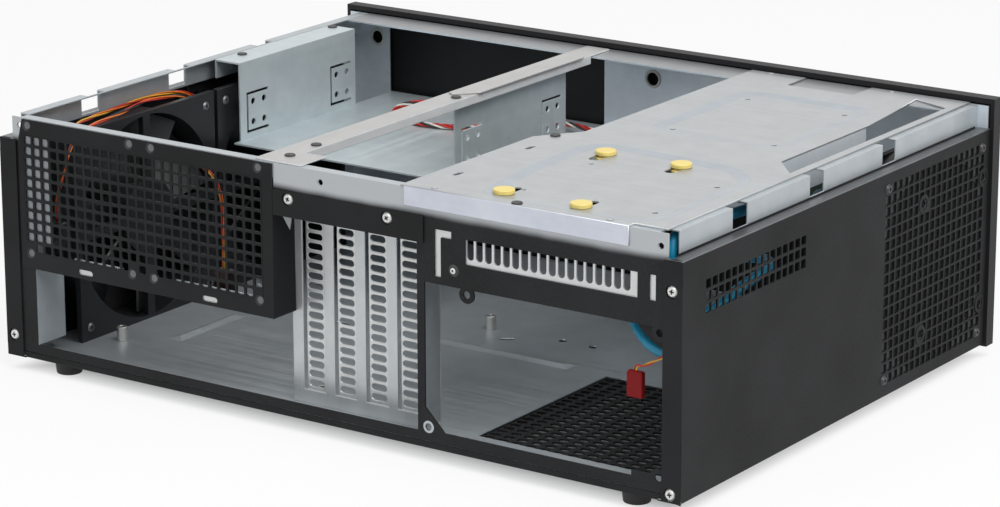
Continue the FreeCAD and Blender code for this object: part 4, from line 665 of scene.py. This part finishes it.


# A mid grey for the up-facing faces along the wall's top: a painted highlight on the black ledge
ledge_top_painted_highlight = zinc_sheet("ledge_top_painted_highlight_grey", "#76787a", "#666769", "Y")
for side, word in ((1, "left"), (-1, "right")):
    wall_x = side * WALL_X
    start = wall_x if side < 0 else wall_x - 1
    guard_z = (FAN_LEVEL - GUARD_HALF, FAN_LEVEL + GUARD_HALF)
    windows = [((y - GUARD_HALF, y + GUARD_HALF), guard_z) for y in FAN_MIDDLES[side]]
    if side < 0:
        windows.append(SIDE_VENT)
    lines_y = sorted({*WALL_Y, *(end for u, v in windows for end in u)})
    lines_z = sorted({*WALL_Z, *(end for u, v in windows for end in v)})
    screw_x = FLANGE_SCREWS[side][0]
    across = (screw_x - PATCH_WIDE, screw_x + PATCH_WIDE)
    patches = [(across, (z - PATCH_TALL, z + PATCH_TALL)) for z in FLANGE_SCREWS[side][1:]]
    flange_x = sorted((wall_x, *across, FLANGE_END[side]))
    flange_z = sorted({*lines_z, *(end for u, v in patches for end in v)})
    sheet_faces = cells("X", side, wall_x, lines_y, lines_z, windows)
    sheet_faces += cells("Y", 1, WALL_Y[1], flange_x, flange_z, patches)
    sheet_faces += cells("Z", 1, WALL_Z[1], sorted((wall_x, side * LEDGE_X)), lines_y)
    sheet_faces += cells("Z", -1, WALL_Z[0], sorted((wall_x, side * LOWER_LIP_X)), lines_y)
    # Edges stay sharp round the openings, where a punched field or a patch joins on
    sharp = [((wall_x - 1.5, u[0], v[0]), (wall_x + 1.5, u[1], v[1])) for u, v in windows]
    sharp += [((u[0], 160.0, v[0]), (u[1], 163.0, v[1])) for u, v in patches]
    body = folded(sheet_faces, black, zinc, sharp)
    body.materials.append(ledge_top_painted_highlight)
    for corner in body.vertices:
        corner.co.y = min(corner.co.y, WALL_Y[1] * MM)
    # The up-facing faces along the top take the painted highlight grey
    for face in body.polygons:
        if face.normal.z > 0.3 and face.center.z > (WALL_Z[1] - 0.5) * MM:
            face.material_index = 2
    meshes = [body]
    for u, v in patches:
        hole = ring(screw_x, sum(v) / 2, 3.5, 20)
        meshes.append(plate(oblong(u, v), [hole], seat("Y", REAR_FACE), black, edge=0.05))
    for y, (u, v) in zip(FAN_MIDDLES[side], windows):
        bosses = [(a, b, 5.0) for a, b in fan_corners(y)]
        if side < 0:
            bosses += [(a, b, 4.4) for a, b in SMALL_FAN]
        meshes.append(perforated(u, v, GUARD_CELLS, (5.0, 5.0), 0.6, seat("X", start), black, bosses))
    if side < 0:
        meshes.append(perforated(*SIDE_VENT, SIDE_VENT_CELLS, (4.8, 4.8), 0.7, seat("X", start), black))
        for y, z in SMALL_FAN:
            dish = ring(y, z, 3.2, 24)
            meshes.append(plate(ring(y, z, 5.4, 24), [dish], seat("X", start - 0.35), black, 0.4, 0.15))
    wall_piece = joined(f"side_panel_{word}_folded", *meshes)
    if side < 0:
        screw_holes = [((wall_x, y, z), 2.4, 1.6) for y, z in SMALL_FAN]
        wall_piece = drilled(wall_piece, (-1, 0, 0), screw_holes, worn_coat)
    keep(wall_piece, "black_coat", f"side_panel_{word}")

# Top rails: zinc angle strips along both sides, notched for the hooks of the missing cover.
# Black strips along each rail's foot are painted shade for the dark gap between the rail and the ledge that
# it stands on.
for word in ("left", "right"):
    stand_in(f"top_rail_{word}_angle", f"top_rail_{word}", 0.35, "zinc_sheet", zinc)
SHADE_STRIP = 0.5
shade_strips = [strip("X", start, (-150, 154), (WALL_Z[1], WALL_Z[1] + 1), black, SHADE_STRIP, 0.05)
         for start in (-LEDGE_X - SHADE_STRIP, LEDGE_X)]
fitted("rail_foot_painted_shade", "black_coat", [], *shade_strips)

# Front chassis: the zinc wall behind the bezel, with the drive opening and a top flange.
# The wall's faces towards the rear take a lighter zinc, painted light; its other faces and its right end
# take a darker zinc, painted shade
front_painted_light_zinc = zinc_sheet("zinc_coated_steel_front_painted_light", "#dfe9f1", "#d0dae2", "X", 0.4)
front_painted_shade_zinc = zinc_sheet("zinc_coated_steel_front_painted_shade", "#a6a8aa", "#999b9d", "X")
stand_in("front_chassis_pressing", "front_chassis", 0.3, "zinc_sheet", front_painted_light_zinc, front_painted_shade_zinc,
         choose=lambda normal, spot: normal.y <= 0.5 or spot.x <= -200)
pale_nylon = surface("natural_nylon", "#b9bcb8", 0.0, 0.5)[0]
bushings = [plate(ring(x, 130.5, 5.4, 24), [ring(x, 130.5, 3.8, 24)], seat("Y", -152.8), pale_nylon, 0.7)
            for x in (196.5, -1.0)]
fitted("front_wall_bushings", "zinc_sheet", [], *bushings)

# Bezel and drive-bay cover: black ABS mouldings with a fine spark-eroded texture.
# A thin black sheet on the lower front wall is painted shade: it stands in for the deep shade that the side
# vent's cells look at.


def moulded(name, colour, rough, grit_mm, depth_mm, sheen=0.5):
    """Moulded plastic: one colour with the fine pits that the eroded mould leaves."""
    made, tree, shader = surface(name, colour, 0.0, rough, Specular_IOR_Level=sheen)
    pits = noise(tree, spot_on(tree), grit_mm, 2.0)
    gloss = ranged(tree, pits, 0.3, 0.7, rough - 0.07, rough + 0.07)
    feed(tree, shader, Roughness=gloss, Normal=bumped(tree, pits, 0.35, depth_mm))
    return made


abs_black = moulded("black_abs", "#1b1b1d", 0.5, 0.8, 0.05, 0.25)
stand_in("bezel_moulding", "bezel", 0.7, "black_moulding", abs_black)
# A black sheet laid on the lower front wall: painted shade for the dark seen through the side vent's cells
painted_shade_sheet = moulded("painted_shade_black_sheet", "#0d0d0e", 0.8, 1.2, 0.2, 0.2)
fitted("front_wall_painted_shade", "plug_black", [], strip("Y", -152.1, (-120, 165), (11, 62), painted_shade_sheet, 0.4, 0.05))
stand_in("drive_bay_cover_moulding", "drive_bay_cover", 0.4, "black_moulding", abs_black)

# Front board: a green laminate with its switches and headers, and the ports and jacks that stand on it.
laminate = moulded("green_laminate", "#1d3a26", 0.4, 1.2, 0.02)
nickel = zinc_sheet("nickel_plated_steel", "#cfcfcb", "#bfc0bd", "Y")
stand_in("front_board_card", "front_board", 0.15, "board_laminate", laminate, abs_black,
         choose=lambda normal, spot: spot.y < -153.6 or spot.y > -151.8)
stand_in("usb_port_shells", "usb_ports", 0.15, "port_shell", nickel)
stand_in("audio_jack_barrels", "audio_jacks", 0.2, "black_moulding", abs_black)

# Buttons and indicator: black caps that slide in the bezel, and a blue tinted lens between them.
for word in ("power_button", "reset_button"):
    stand_in(f"{word}_cap", word, 0.3, "black_moulding", abs_black, body=word)
acrylic = surface("tinted_acrylic", "#3a66c8", 0.0, 0.12, Transmission_Weight=0.5)[0]
stand_in("indicator_lens", "led_lens", 0.2, "clear_lens", acrylic)

# Optical-drive cage: floor, two walls and an outward flange folded from one zinc sheet.
# The cage's zinc is drawn lighter than the tray's: painted light on its interior
cage_painted_light_zinc = zinc_sheet("zinc_coated_steel_cage_painted_light", "#cbd5d8", "#bcc6ca", "Y", 0.4)
stand_in("drive_cage_pressing", "odd_cage", 0.3, "zinc_sheet", cage_painted_light_zinc)

# Cage beam and its strap: zinc strips from the front flange to the rear flange.
beam_zinc = zinc_sheet("zinc_coated_steel_beam", "#bdbcbb", "#b1b0af", "Y", 0.3)
# The beam's faces that do not face up take a much lighter zinc: painted light
beam_side_painted_light_zinc = zinc_sheet("zinc_coated_steel_beam_sides_painted_light", "#e6e8e9", "#d8dadb", "Y", 0.1)
stand_in("cage_beam_pressing", "cage_beam", 0.45, "zinc_sheet", beam_zinc, beam_side_painted_light_zinc,
         choose=lambda normal, spot: normal.z <= 0.5)
stand_in("beam_strap_pressing", "beam_strap", 0.3, "zinc_sheet", beam_zinc)

# Drive plate: a stepped zinc sheet over the power supply, with a rear flange and a flap folded down.
# Two shallow fields are pressed in it, and keyholes beside the rubber grommets take a hard drive.


def corners_of(loop):
    """Each corner of a loop as a vector, between the ones before and after it."""
    spots = [Vector(spot) for spot in loop]
    return zip(spots[-1:] + spots[:-1], spots, spots[1:] + spots[:1])


def inset(loop, by):
    """Move the sides of an anticlockwise loop inwards by a distance."""
    moved = []
    for before, here, after in corners_of(loop):
        along = (here - before).normalized()
        onward = (after - here).normalized()
        left = Vector((-along.y, along.x)) + Vector((-onward.y, onward.x))
        reach = by / max(0.35, left.length_squared / 4) / 2
        moved.append(tuple(here + left * reach))
    return moved


def softened(loop, radius, steps=4):
    """Round the corners of a plate's outline."""
    points = []
    for before, here, after in corners_of(loop):
        back = before - here
        ahead = after - here
        cut = min(radius, back.length * 0.45, ahead.length * 0.45)
        one = here + back.normalized() * cut
        two = here + ahead.normalized() * cut
        for step in range(steps + 1):
            t = step / steps
            points.append(tuple(one * (1 - t) ** 2 + here * 2 * t * (1 - t) + two * t ** 2))
    return points


def pressed_rim(outer, inner, top, drop, finish):
    """The sloping rim of a pressed field, from an outer loop down to an inner one."""
    count = len(outer)
    levels = ((outer, top), (inner, top - drop), (inner, top - drop - 1), (outer, top - 1))
    corners = [(u * MM, v * MM, z * MM) for loop, z in levels for u, v in loop]
    faces = []
    for number in range(count):
        after = (number + 1) % count
        for low, high in ((0, 1), (1, 2), (2, 3), (3, 0)):
            a, b = low * count, high * count
            faces.append((a + number, a + after, b + after, b + number))
    return mesh_of("rim", corners, faces, finish)


PLATE_TOP = 145.0
DROP = 1.0
SLOPE = 6.5
FLOOR_IN = 1.2
PLATE_OUTLINE = [
    (-206, -152.5), (-145, -152.5), (-145, -131.5), (-103, -131.5), (-103, -152.5), (-68, -152.5), (-68, 20),
    (-51, 44), (-51, 162.3), (-187, 162.3), (-187, 157), (-206, 157),
]
SIDE_GAP = [(-201.5, 34), (-201.5, -133), (-178, -143), (-186, -75), (-186, 16)]
REAR_FIELD = [(-97, 150.5), (-184, 150.5), (-191, 142), (-190, 60), (-173, 45), (-103, 38.8), (-92, 40),
              (-88, 50), (-89, 94)]
FRONT_FIELD = [(-95, -9), (-168, -9), (-168, -103), (-102, -105), (-94.7, -98)]
plate_zinc = zinc_sheet("zinc_coated_steel_plate", "#babdbe", "#aeb1b3", "X")
# The rear flange takes a lighter, bluer copy of the plate's zinc: painted light
flange_painted_light_zinc = zinc_sheet("zinc_coated_steel_flange_painted_light", "#d2d6e0", "#c4c8d3", "X")
# The sloping rims take a bluer copy of the plate's zinc: a painted reflection
rim_painted_reflection_zinc = zinc_sheet("zinc_coated_steel_rim_painted_reflection", "#b5bcc2", "#a9b0b6", "X", 0.6)
# The flap takes a much lighter, less metallic zinc: painted light, as it lies in weak light
flap_painted_light_zinc = zinc_sheet("zinc_coated_steel_flap_painted_light", "#e4ebf0", "#d6dde2", "Y", 0.15)
keyholes = [slotted(x, y, 17.5, 6.4, 90) for x in (-101.5, -147.5) for y in (139.0, 56.0)]
rear_holes = [ring(-105.9, 133, 1.4), ring(-105.9, 71.5, 1.4), ring(-183.5, 75, 1.6), ring(-183.6, 133, 1.6)]
front_holes = [ring(x, y, 1.6) for x, y in ((-100, -94), (-162, -92), (-164.0, -14), (-101.7, -14))]
plate_holes = [SIDE_GAP]
rims = []
floors = []
for outline, holes in ((REAR_FIELD, keyholes + rear_holes), (FRONT_FIELD, front_holes)):
    press = softened(outline, 8)
    bottom = inset(press, FLOOR_IN)
    brim = inset(press, FLOOR_IN - SLOPE)
    plate_holes.append(brim)
    rims.append(pressed_rim(brim, bottom, PLATE_TOP, DROP, rim_painted_reflection_zinc))
    floors.append(plate(bottom, holes, seat("Z", PLATE_TOP - DROP - 1), plate_zinc, edge=0.05))
plate_holes += [slotted(-63, 129, 8, 3, 90), slotted(-63.3, 64.5, 8, 3, 90)]
fitted(
    "drive_plate_pressing", "zinc_sheet", ["drive_plate"],
    plate(PLATE_OUTLINE, plate_holes, seat("Z", PLATE_TOP - 1), plate_zinc, edge=0.06),
    *rims,
    *floors,
    strip("Y", REAR_FACE, (-187, -53), (134.5, 144.8), flange_painted_light_zinc),
    strip("X", -186, (-73, 16), (124, 144.8), flap_painted_light_zinc),
)

# Grommets: four yellow silicone rubber bushes pushed into the plate's keyholes.
silicone = surface("yellow_silicone_rubber", "#ebd47c", 0.0, 0.42, Subsurface_Weight=0.15,
                   Subsurface_Radius=(0.003, 0.002, 0.001))[0]
stand_in("drive_grommet_bushes", "drive_grommets", 0.6, "grommet_rubber", silicone, turned=True)

# Fans: three 120 mm fans, each a black moulded frame, a rotor on its hub and a dust cloth at the grille.


def woven_cloth(name, colour, thread_mm):
    """Plain-woven filter cloth: threads that cross in both directions and swallow most of the light."""
    made, tree, shader = surface(name, colour, 0.0, 0.85)
    spot = spot_on(tree)
    waves = []
    for direction in ("Y", "Z"):
        wave = add(tree, "TexWave", {"wave_type": "BANDS", "bands_direction": direction},
                   Vector=spot, Scale=0.314 / (thread_mm * MM))
        waves.append(wave.outputs["Fac"])
    weave = sums(tree, "MULTIPLY", *waves)
    tone = between(tree, weave, srgb("#050505"), srgb(colour))
    feed(tree, shader, Base_Color=tone, Normal=bumped(tree, weave, 0.5, 0.2))
    return made


fan_plastic = moulded("black_pbt", "#17181a", 0.42, 1.5, 0.05)
# Real threads are about 0.4 mm apart, drawn at 1.6 mm so that they show
filter_cloth = woven_cloth("black_polyester_cloth", "#121212", 1.6)
for number in range(1, 4):
    stator, rotor, cloth = (f"fan_{part}_{number}" for part in ("frame", "rotor", "filter"))
    stand_in(f"fan_{number}_housing", stator, 0.4, "fan_plastic", fan_plastic, turned=True)
    stand_in(f"fan_{number}_blades", rotor, 0.3, "fan_plastic", fan_plastic, body=rotor, turned=True)
    stand_in(f"fan_{number}_dust_cloth", cloth, 0.1, "filter_cloth", filter_cloth, turned=True)

# Screws: bright pan heads at the rear and black ones round the fans, all with a cross recess.


def screw_tree():
    """A round head with a cross cut in it, on each point of a mesh, turned to face one way."""
    lengths = ("Head Radius", "Head Rise", "Cross Wide", "Cross Deep")
    tree, given = new_tree("screw_heads", lengths, Turn="Rotation", Material="Material", Recess="Material")
    crown = sums(tree, "MULTIPLY", given["Head Radius"], 0.72)
    head = flow(tree, "MeshCone", {"fill_type": "NGON"}, Vertices=24, Side_Segments=1,
                Radius_Top=crown, Radius_Bottom=given["Head Radius"], Depth=given["Head Rise"])
    long = sums(tree, "MULTIPLY", given["Head Radius"], 0.85)
    deep = sums(tree, "MULTIPLY", given["Cross Deep"], 2.0)
    lift = flow(tree, "ShaderNodeCombineXYZ", Z=given["Head Rise"])
    arms = []
    for across, up in ((long, given["Cross Wide"]), (given["Cross Wide"], long)):
        size = flow(tree, "ShaderNodeCombineXYZ", X=across, Y=up, Z=deep)
        block = flow(tree, "MeshCube", Size=size)
        lifted = flow(tree, "Transform", Geometry=block, Translation=lift)
        # The cross's walls take the recess finish: dark steel that paints the shade down in the recess
        arms.append(flow(tree, "SetMaterial", Geometry=lifted, Material=given["Recess"]))
    coated = flow(tree, "SetMaterial", Geometry=head, Material=given["Material"])
    cut = flow(tree, "MeshBoolean", {"operation": "DIFFERENCE", "solver": "EXACT"}, n0=coated,
               n1=tuple(arms))
    spin = add(tree, "FunctionNodeRandomValue", {"data_type": "FLOAT"}, n2=0.0, n3=1.5, Seed=7).outputs[1]
    own = flow(tree, "FunctionNodeEulerToRotation", n0=flow(tree, "ShaderNodeCombineXYZ", Z=spin))
    faced = flow(tree, "FunctionNodeRotateRotation", {"rotation_space": "LOCAL"}, Rotation=given["Turn"],
                 Rotate_By=own)
    placed = flow(tree, "InstanceOnPoints", Points=given["Geometry"], Instance=cut, Rotation=faced)
    add(tree, "NodeGroupOutput", Geometry=flow(tree, "RealizeInstances", Geometry=placed))
    return tree


SCREWS = screw_tree()
plated = zinc_sheet("bright_plated_screw_steel", "#e6e6e4", "#d2d2d0", "Z")
# Blackened steel: the black screws' own finish, and painted shade on the walls of every cross recess
blackened_and_recess_shade = moulded("blackened_screw_steel_and_recess_shade", "#2e2f31", 0.34, 0.6, 0.02)


def screw_heads(spots, radius, rise, turn, finish):
    """Screw heads on points in mm, turned from +Z by an Euler angle in degrees."""
    points = mesh_of("spots", [Vector(spot) * MM for spot in spots])
    values = {"Head Radius": radius * MM, "Head Rise": rise * MM, "Cross Wide": radius * 0.26 * MM,
              "Cross Deep": rise * 0.75 * MM, "Turn": [math.radians(angle) for angle in turn],
              "Material": finish, "Recess": blackened_and_recess_shade}
    return run_tree(new_piece("screws", points), SCREWS, values)


REARWARD = (-90, 0, 0)
REAR_SCREWS = [(21, 126), (-42, 126), (213.0, 20), (-211.8, 12.2), (-211.8, 115.6)]
INNER_FAN_FACE = 192.0
fitted(
    "rear_screw_heads", "bright_screw", ["rear_screws"],
    screw_heads([(x, PANEL_FACE, z) for x, z in REAR_SCREWS], 3.1, 0.98, REARWARD, plated),
    screw_heads([(-82.8, PANEL_FACE, 104.8)], 3.2, 0.7, REARWARD, blackened_and_recess_shade),
    screw_heads([(-82.8, PANEL_FACE + 0.5, 104.8)], 1.8, 0.48, REARWARD, plated),
)
fan_heads = []
for side in (1, -1):
    spots = [(side * WALL_X, *spot) for y in FAN_MIDDLES[side] for spot in fan_corners(y)]
    fan_heads.append(screw_heads(spots, 2.8, 1.1, (0, 90 * side, 0), blackened_and_recess_shade))
fitted("fan_screw_heads", "black_screw", ["fan_screws"], *fan_heads)
spots = [(INNER_FAN_FACE, *spot) for y in FAN_MIDDLES[1] for spot in fan_corners(y)]
fitted("fan_screw_tips", "bright_screw", [], screw_heads(spots, 2.6, 0.8, (0, -90, 0), nut_steel_with_painted_shade))

# Plastic rivets and clinch marks that hold the plate, the beam and the cage flange together.
RIVETS = [(-120.0, 159.6, 145.0), (198.0, -24.0, 144.0), (198.5, -111.0, 144.0), (32.0, 123.0, 145.0),
          (30.0, 148.0, 145.0), (-60.2, 36.4, 145.0), (32.1, -3.5, 145.0)]
CLINCHES = [(-69.5, 158.8, 145.0), (-174.0, 158.8, 145.0), (-82.0, -149.5, 145.0), (-159.0, -149.5, 145.0),
            (34.5, -34.6, 145.0)]
rivet_nylon = moulded("black_nylon_rivet", "#2c2c2d", 0.5, 1.0, 0.02)
rivets = [plate(ring(x, y, 2.9, 20), [], seat("Z", z), rivet_nylon, 0.8, 0.3) for x, y, z in RIVETS]
fitted("nylon_rivets", "plug_black", [], *rivets)
clinches = [plate(ring(x, y, 1.7, 20), [], seat("Z", z), plate_zinc, 0.4, 0.15) for x, y, z in CLINCHES]
fitted("plate_clinches", "zinc_sheet", [], *clinches)

# Standoffs: turned and nickel-plated posts screwed into the tray for the main board.
post_plating = zinc_sheet("nickel_plated_brass", "#cfcfca", "#bfc0bb", "Z", 0.85)
stand_in("board_standoff_posts", "board_standoffs", 0.25, "plated_post", post_plating, turned=True)

# Feet: four black rubber studs pressed into the tray.
rubber = moulded("black_rubber", "#141414", 0.6, 1.0, 0.05)
for foot in ("foot_rear_left", "foot_rear_right", "foot_front_left", "foot_front_right"):
    stand_in(f"{foot}_stud", foot, 0.6, "foot_rubber", rubber, turned=True)

# Leads: fan leads of three twisted wires, a sheathed front-panel cable, a switch lead and a panel lead.
# Each follows one smooth line from where it leaves the case to its plug.


def wire(name, colour):
    """PVC insulation: an even colour with the soft gloss of an extruded skin."""
    made, tree, shader = surface(name, colour, 0.0, 0.38)
    skin = noise(tree, spot_on(tree), 6, 2.0)
    feed(tree, shader, Roughness=ranged(tree, skin, 0.3, 0.7, 0.3, 0.46))
    return made


def route(name, points):
    """A smooth line through the run of a lead, from its control points in mm."""
    curve = put(bpy.data.curves.new(name, "CURVE"), dimensions="3D", resolution_u=10)
    spline = curve.splines.new("NURBS")
    spline.points.add(len(points) - 1)
    for point, spot in zip(spline.points, points):
        point.co = [value * MM for value in spot] + [1]
    put(spline, order_u=3, use_endpoint_u=True)
    return new_piece(name, curve)


def strands(name, points, diameter, finishes, lay, sides=7):
    """Twist wires of several colours about a lead's line, and give back the piece and the line's points."""
    line = baked(route(name + "_line", points))
    path = [vertex.co.copy() for vertex in line.vertices]
    bpy.data.meshes.remove(line)
    count = len(finishes)
    share = math.sin(math.pi / count)
    offset = diameter / 2 / (1 + share) * MM
    skin = ring(0, 0, offset * share, sides)
    rings = len(path)
    corners, faces, marks = [], [], []
    for number in range(count):
        side = (path[1] - path[0]).orthogonal().normalized()
        gone = 0.0
        first = len(corners)
        for place, spot in enumerate(path):
            before = path[max(place - 1, 0)]
            ahead = (path[min(place + 1, rings - 1)] - before).normalized()
            side = (side - ahead * side.dot(ahead)).normalized()
            up = ahead.cross(side)
            gone += (spot - before).length
            angle = 2 * math.pi * (gone / (lay * MM) + number / count)
            middle = spot + (side * math.cos(angle) + up * math.sin(angle)) * offset
            corners += [middle + side * u + up * v for u, v in skin]
        last = len(corners) - sides
        for row in range(first, last, sides):
            for step in range(sides):
                a, b = row + step, row + (step + 1) % sides
                faces.append((a, b, b + sides, a + sides))
        faces += [tuple(reversed(range(first, first + sides))), tuple(range(last, last + sides))]
        marks += [number] * (len(faces) - len(marks))
    mesh = mesh_of(name, corners, faces, *finishes)
    mesh.polygons.foreach_set("material_index", marks)
    mesh.shade_smooth()
    return new_piece(name, mesh), path


red = wire("red_pvc", "#b3241c")
yellow = wire("yellow_pvc", "#d8a62a")
orange = wire("orange_pvc", "#d9701f")
dark = wire("black_pvc", "#19191b")
pale = wire("white_pvc", "#d9d6cc")
blue = wire("blue_pvc", "#0c89ae")
nylon_black = moulded("black_nylon", "#1c1c1e", 0.45, 1.5, 0.02)
nylon_red = moulded("red_nylon", "#7a0b0c", 0.5, 1.5, 0.02, 0.2)
nylon_wine = moulded("wine_red_nylon", "#2c0a0a", 0.5, 1.5, 0.02)
PLUGS = {
    "fan_plug_1": ("plug_black", nylon_black),
    "fan_plug_2": ("plug_red", nylon_wine),
    "usb_plug": ("plug_black", nylon_black),
    "switch_plug": ("plug_red", nylon_red),
    "panel_plug": ("plug_black", nylon_black),
}
for node, (slot, finish) in PLUGS.items():
    stand_in(f"{node}_housing", node, 0.5, slot, finish)

FAN_LEAD_1 = [(204.5, 25.8, 109.7), (204.5, 20, 114.9), (203, 18, 122.5), (200, 24, 128), (198.5, 34, 131),
              (200, 44, 132), (202, 54, 132.2), (202, 64, 132.2), (198.5, 76, 132.2), (194.5, 90, 132.4),
              (191.5, 112, 132.5), (187, 134, 131.5), (181.5, 149, 124), (183, 152, 111), (188, 152, 99),
              (188, 152, 86)]
FAN_LEAD_2 = [(204.5, -8.8, 109.7), (204.5, -3, 114.9), (206, 3, 120.5), (206.5, 12, 126),
              (206.5, 24, 130.5), (207, 40, 132.2), (207, 60, 132.4), (204, 84, 132.6), (199.5, 108, 133.4),
              (192, 130, 135), (177.5, 145, 135.6), (159.5, 151, 135.6), (129.5, 152, 135.4),
              (99.5, 152, 135), (82.5, 152, 132), (73.5, 152, 122), (72, 152, 108), (72, 152, 78)]
PANEL_LEAD = [(-18, -145.9, 88), (-18, -136.9, 88), (-12, -127.9, 92), (1, -124.4, 98.8), (18, -124.9, 102),
              (34, -127.9, 103), (56, -132.9, 101.5), (82, -137, 100), (108, -140, 99.8), (132, -137, 100.8),
              (149, -127, 102), (153, -111, 101), (143, -97, 100), (122, -90, 99.8), (100, -94, 100),
              (84, -103, 100.4), (75, -108, 101), (64, -108, 101)]
SWITCH_LEAD = [(-206.5, 152.5, 87.5), (-204.2, 152.5, 87.5), (-204.4, 152.5, 80.5), (-196.6, 152.4, 75.4),
               (-189.4, 152.3, 71.4), (-185.4, 152.3, 71.6), (-185.4, 152.3, 68.8)]
USB_CABLE = [(-130, -145.9, 80), (-130, -129.9, 80), (-139, -110, 87), (-154, -84, 100), (-169, -54, 110),
             (-184, -22, 115), (-195, 10, 122), (-199, 42, 130.5), (-197.5, 76, 134.5), (-198.5, 106, 134.5),
             (-203.5, 141, 141), (-204.8, 151, 137), (-205, 152, 124), (-208, 150, 107.7),
             (-209.5, 138.3, 96), (-210.5, 118, 96), (-210.5, 97, 101.5), (-210, 74, 103.5), (-204, 54, 103),
             (-190, 41, 100.5), (-172, 42, 98), (-161, 58, 97), (-158, 82, 97), (-160, 106, 96.5),
             (-165, 124, 93.8), (-175.5, 139, 88.3), (-188, 146, 81.5), (-199, 148, 78.3),
             (-206.5, 148, 78.3)]
TWISTED = (
    ("fan_lead_1", FAN_LEAD_1, 2.2, 0.191, (red, orange, dark), 60, "lead_black", "fan_plug_1"),
    ("fan_lead_2", FAN_LEAD_2, 2.2, 0.320, (orange, red, yellow), 60, "lead_black", "fan_plug_2"),
    ("panel_lead", PANEL_LEAD, 3.2, 0.302, (red, red, pale, dark), 24, "lead_red", "panel_plug"),
    ("switch_lead", SWITCH_LEAD, 1.8, 0.031, (yellow, red), 18, "lead_orange", "switch_plug"),
)
for node, points, diameter, length, finishes, lay, slot, plug in TWISTED:
    lead, path = strands(f"{node}_wires", points, diameter, finishes, lay)
    keep(lead, slot, node)

cable = route("usb_cable_sheath", USB_CABLE)
put(cable.data, bevel_depth=2.8 * MM, bevel_resolution=4, use_fill_caps=True)
cable.data.materials.append(blue)
keep(cable, "cable_blue", "usb_cable")
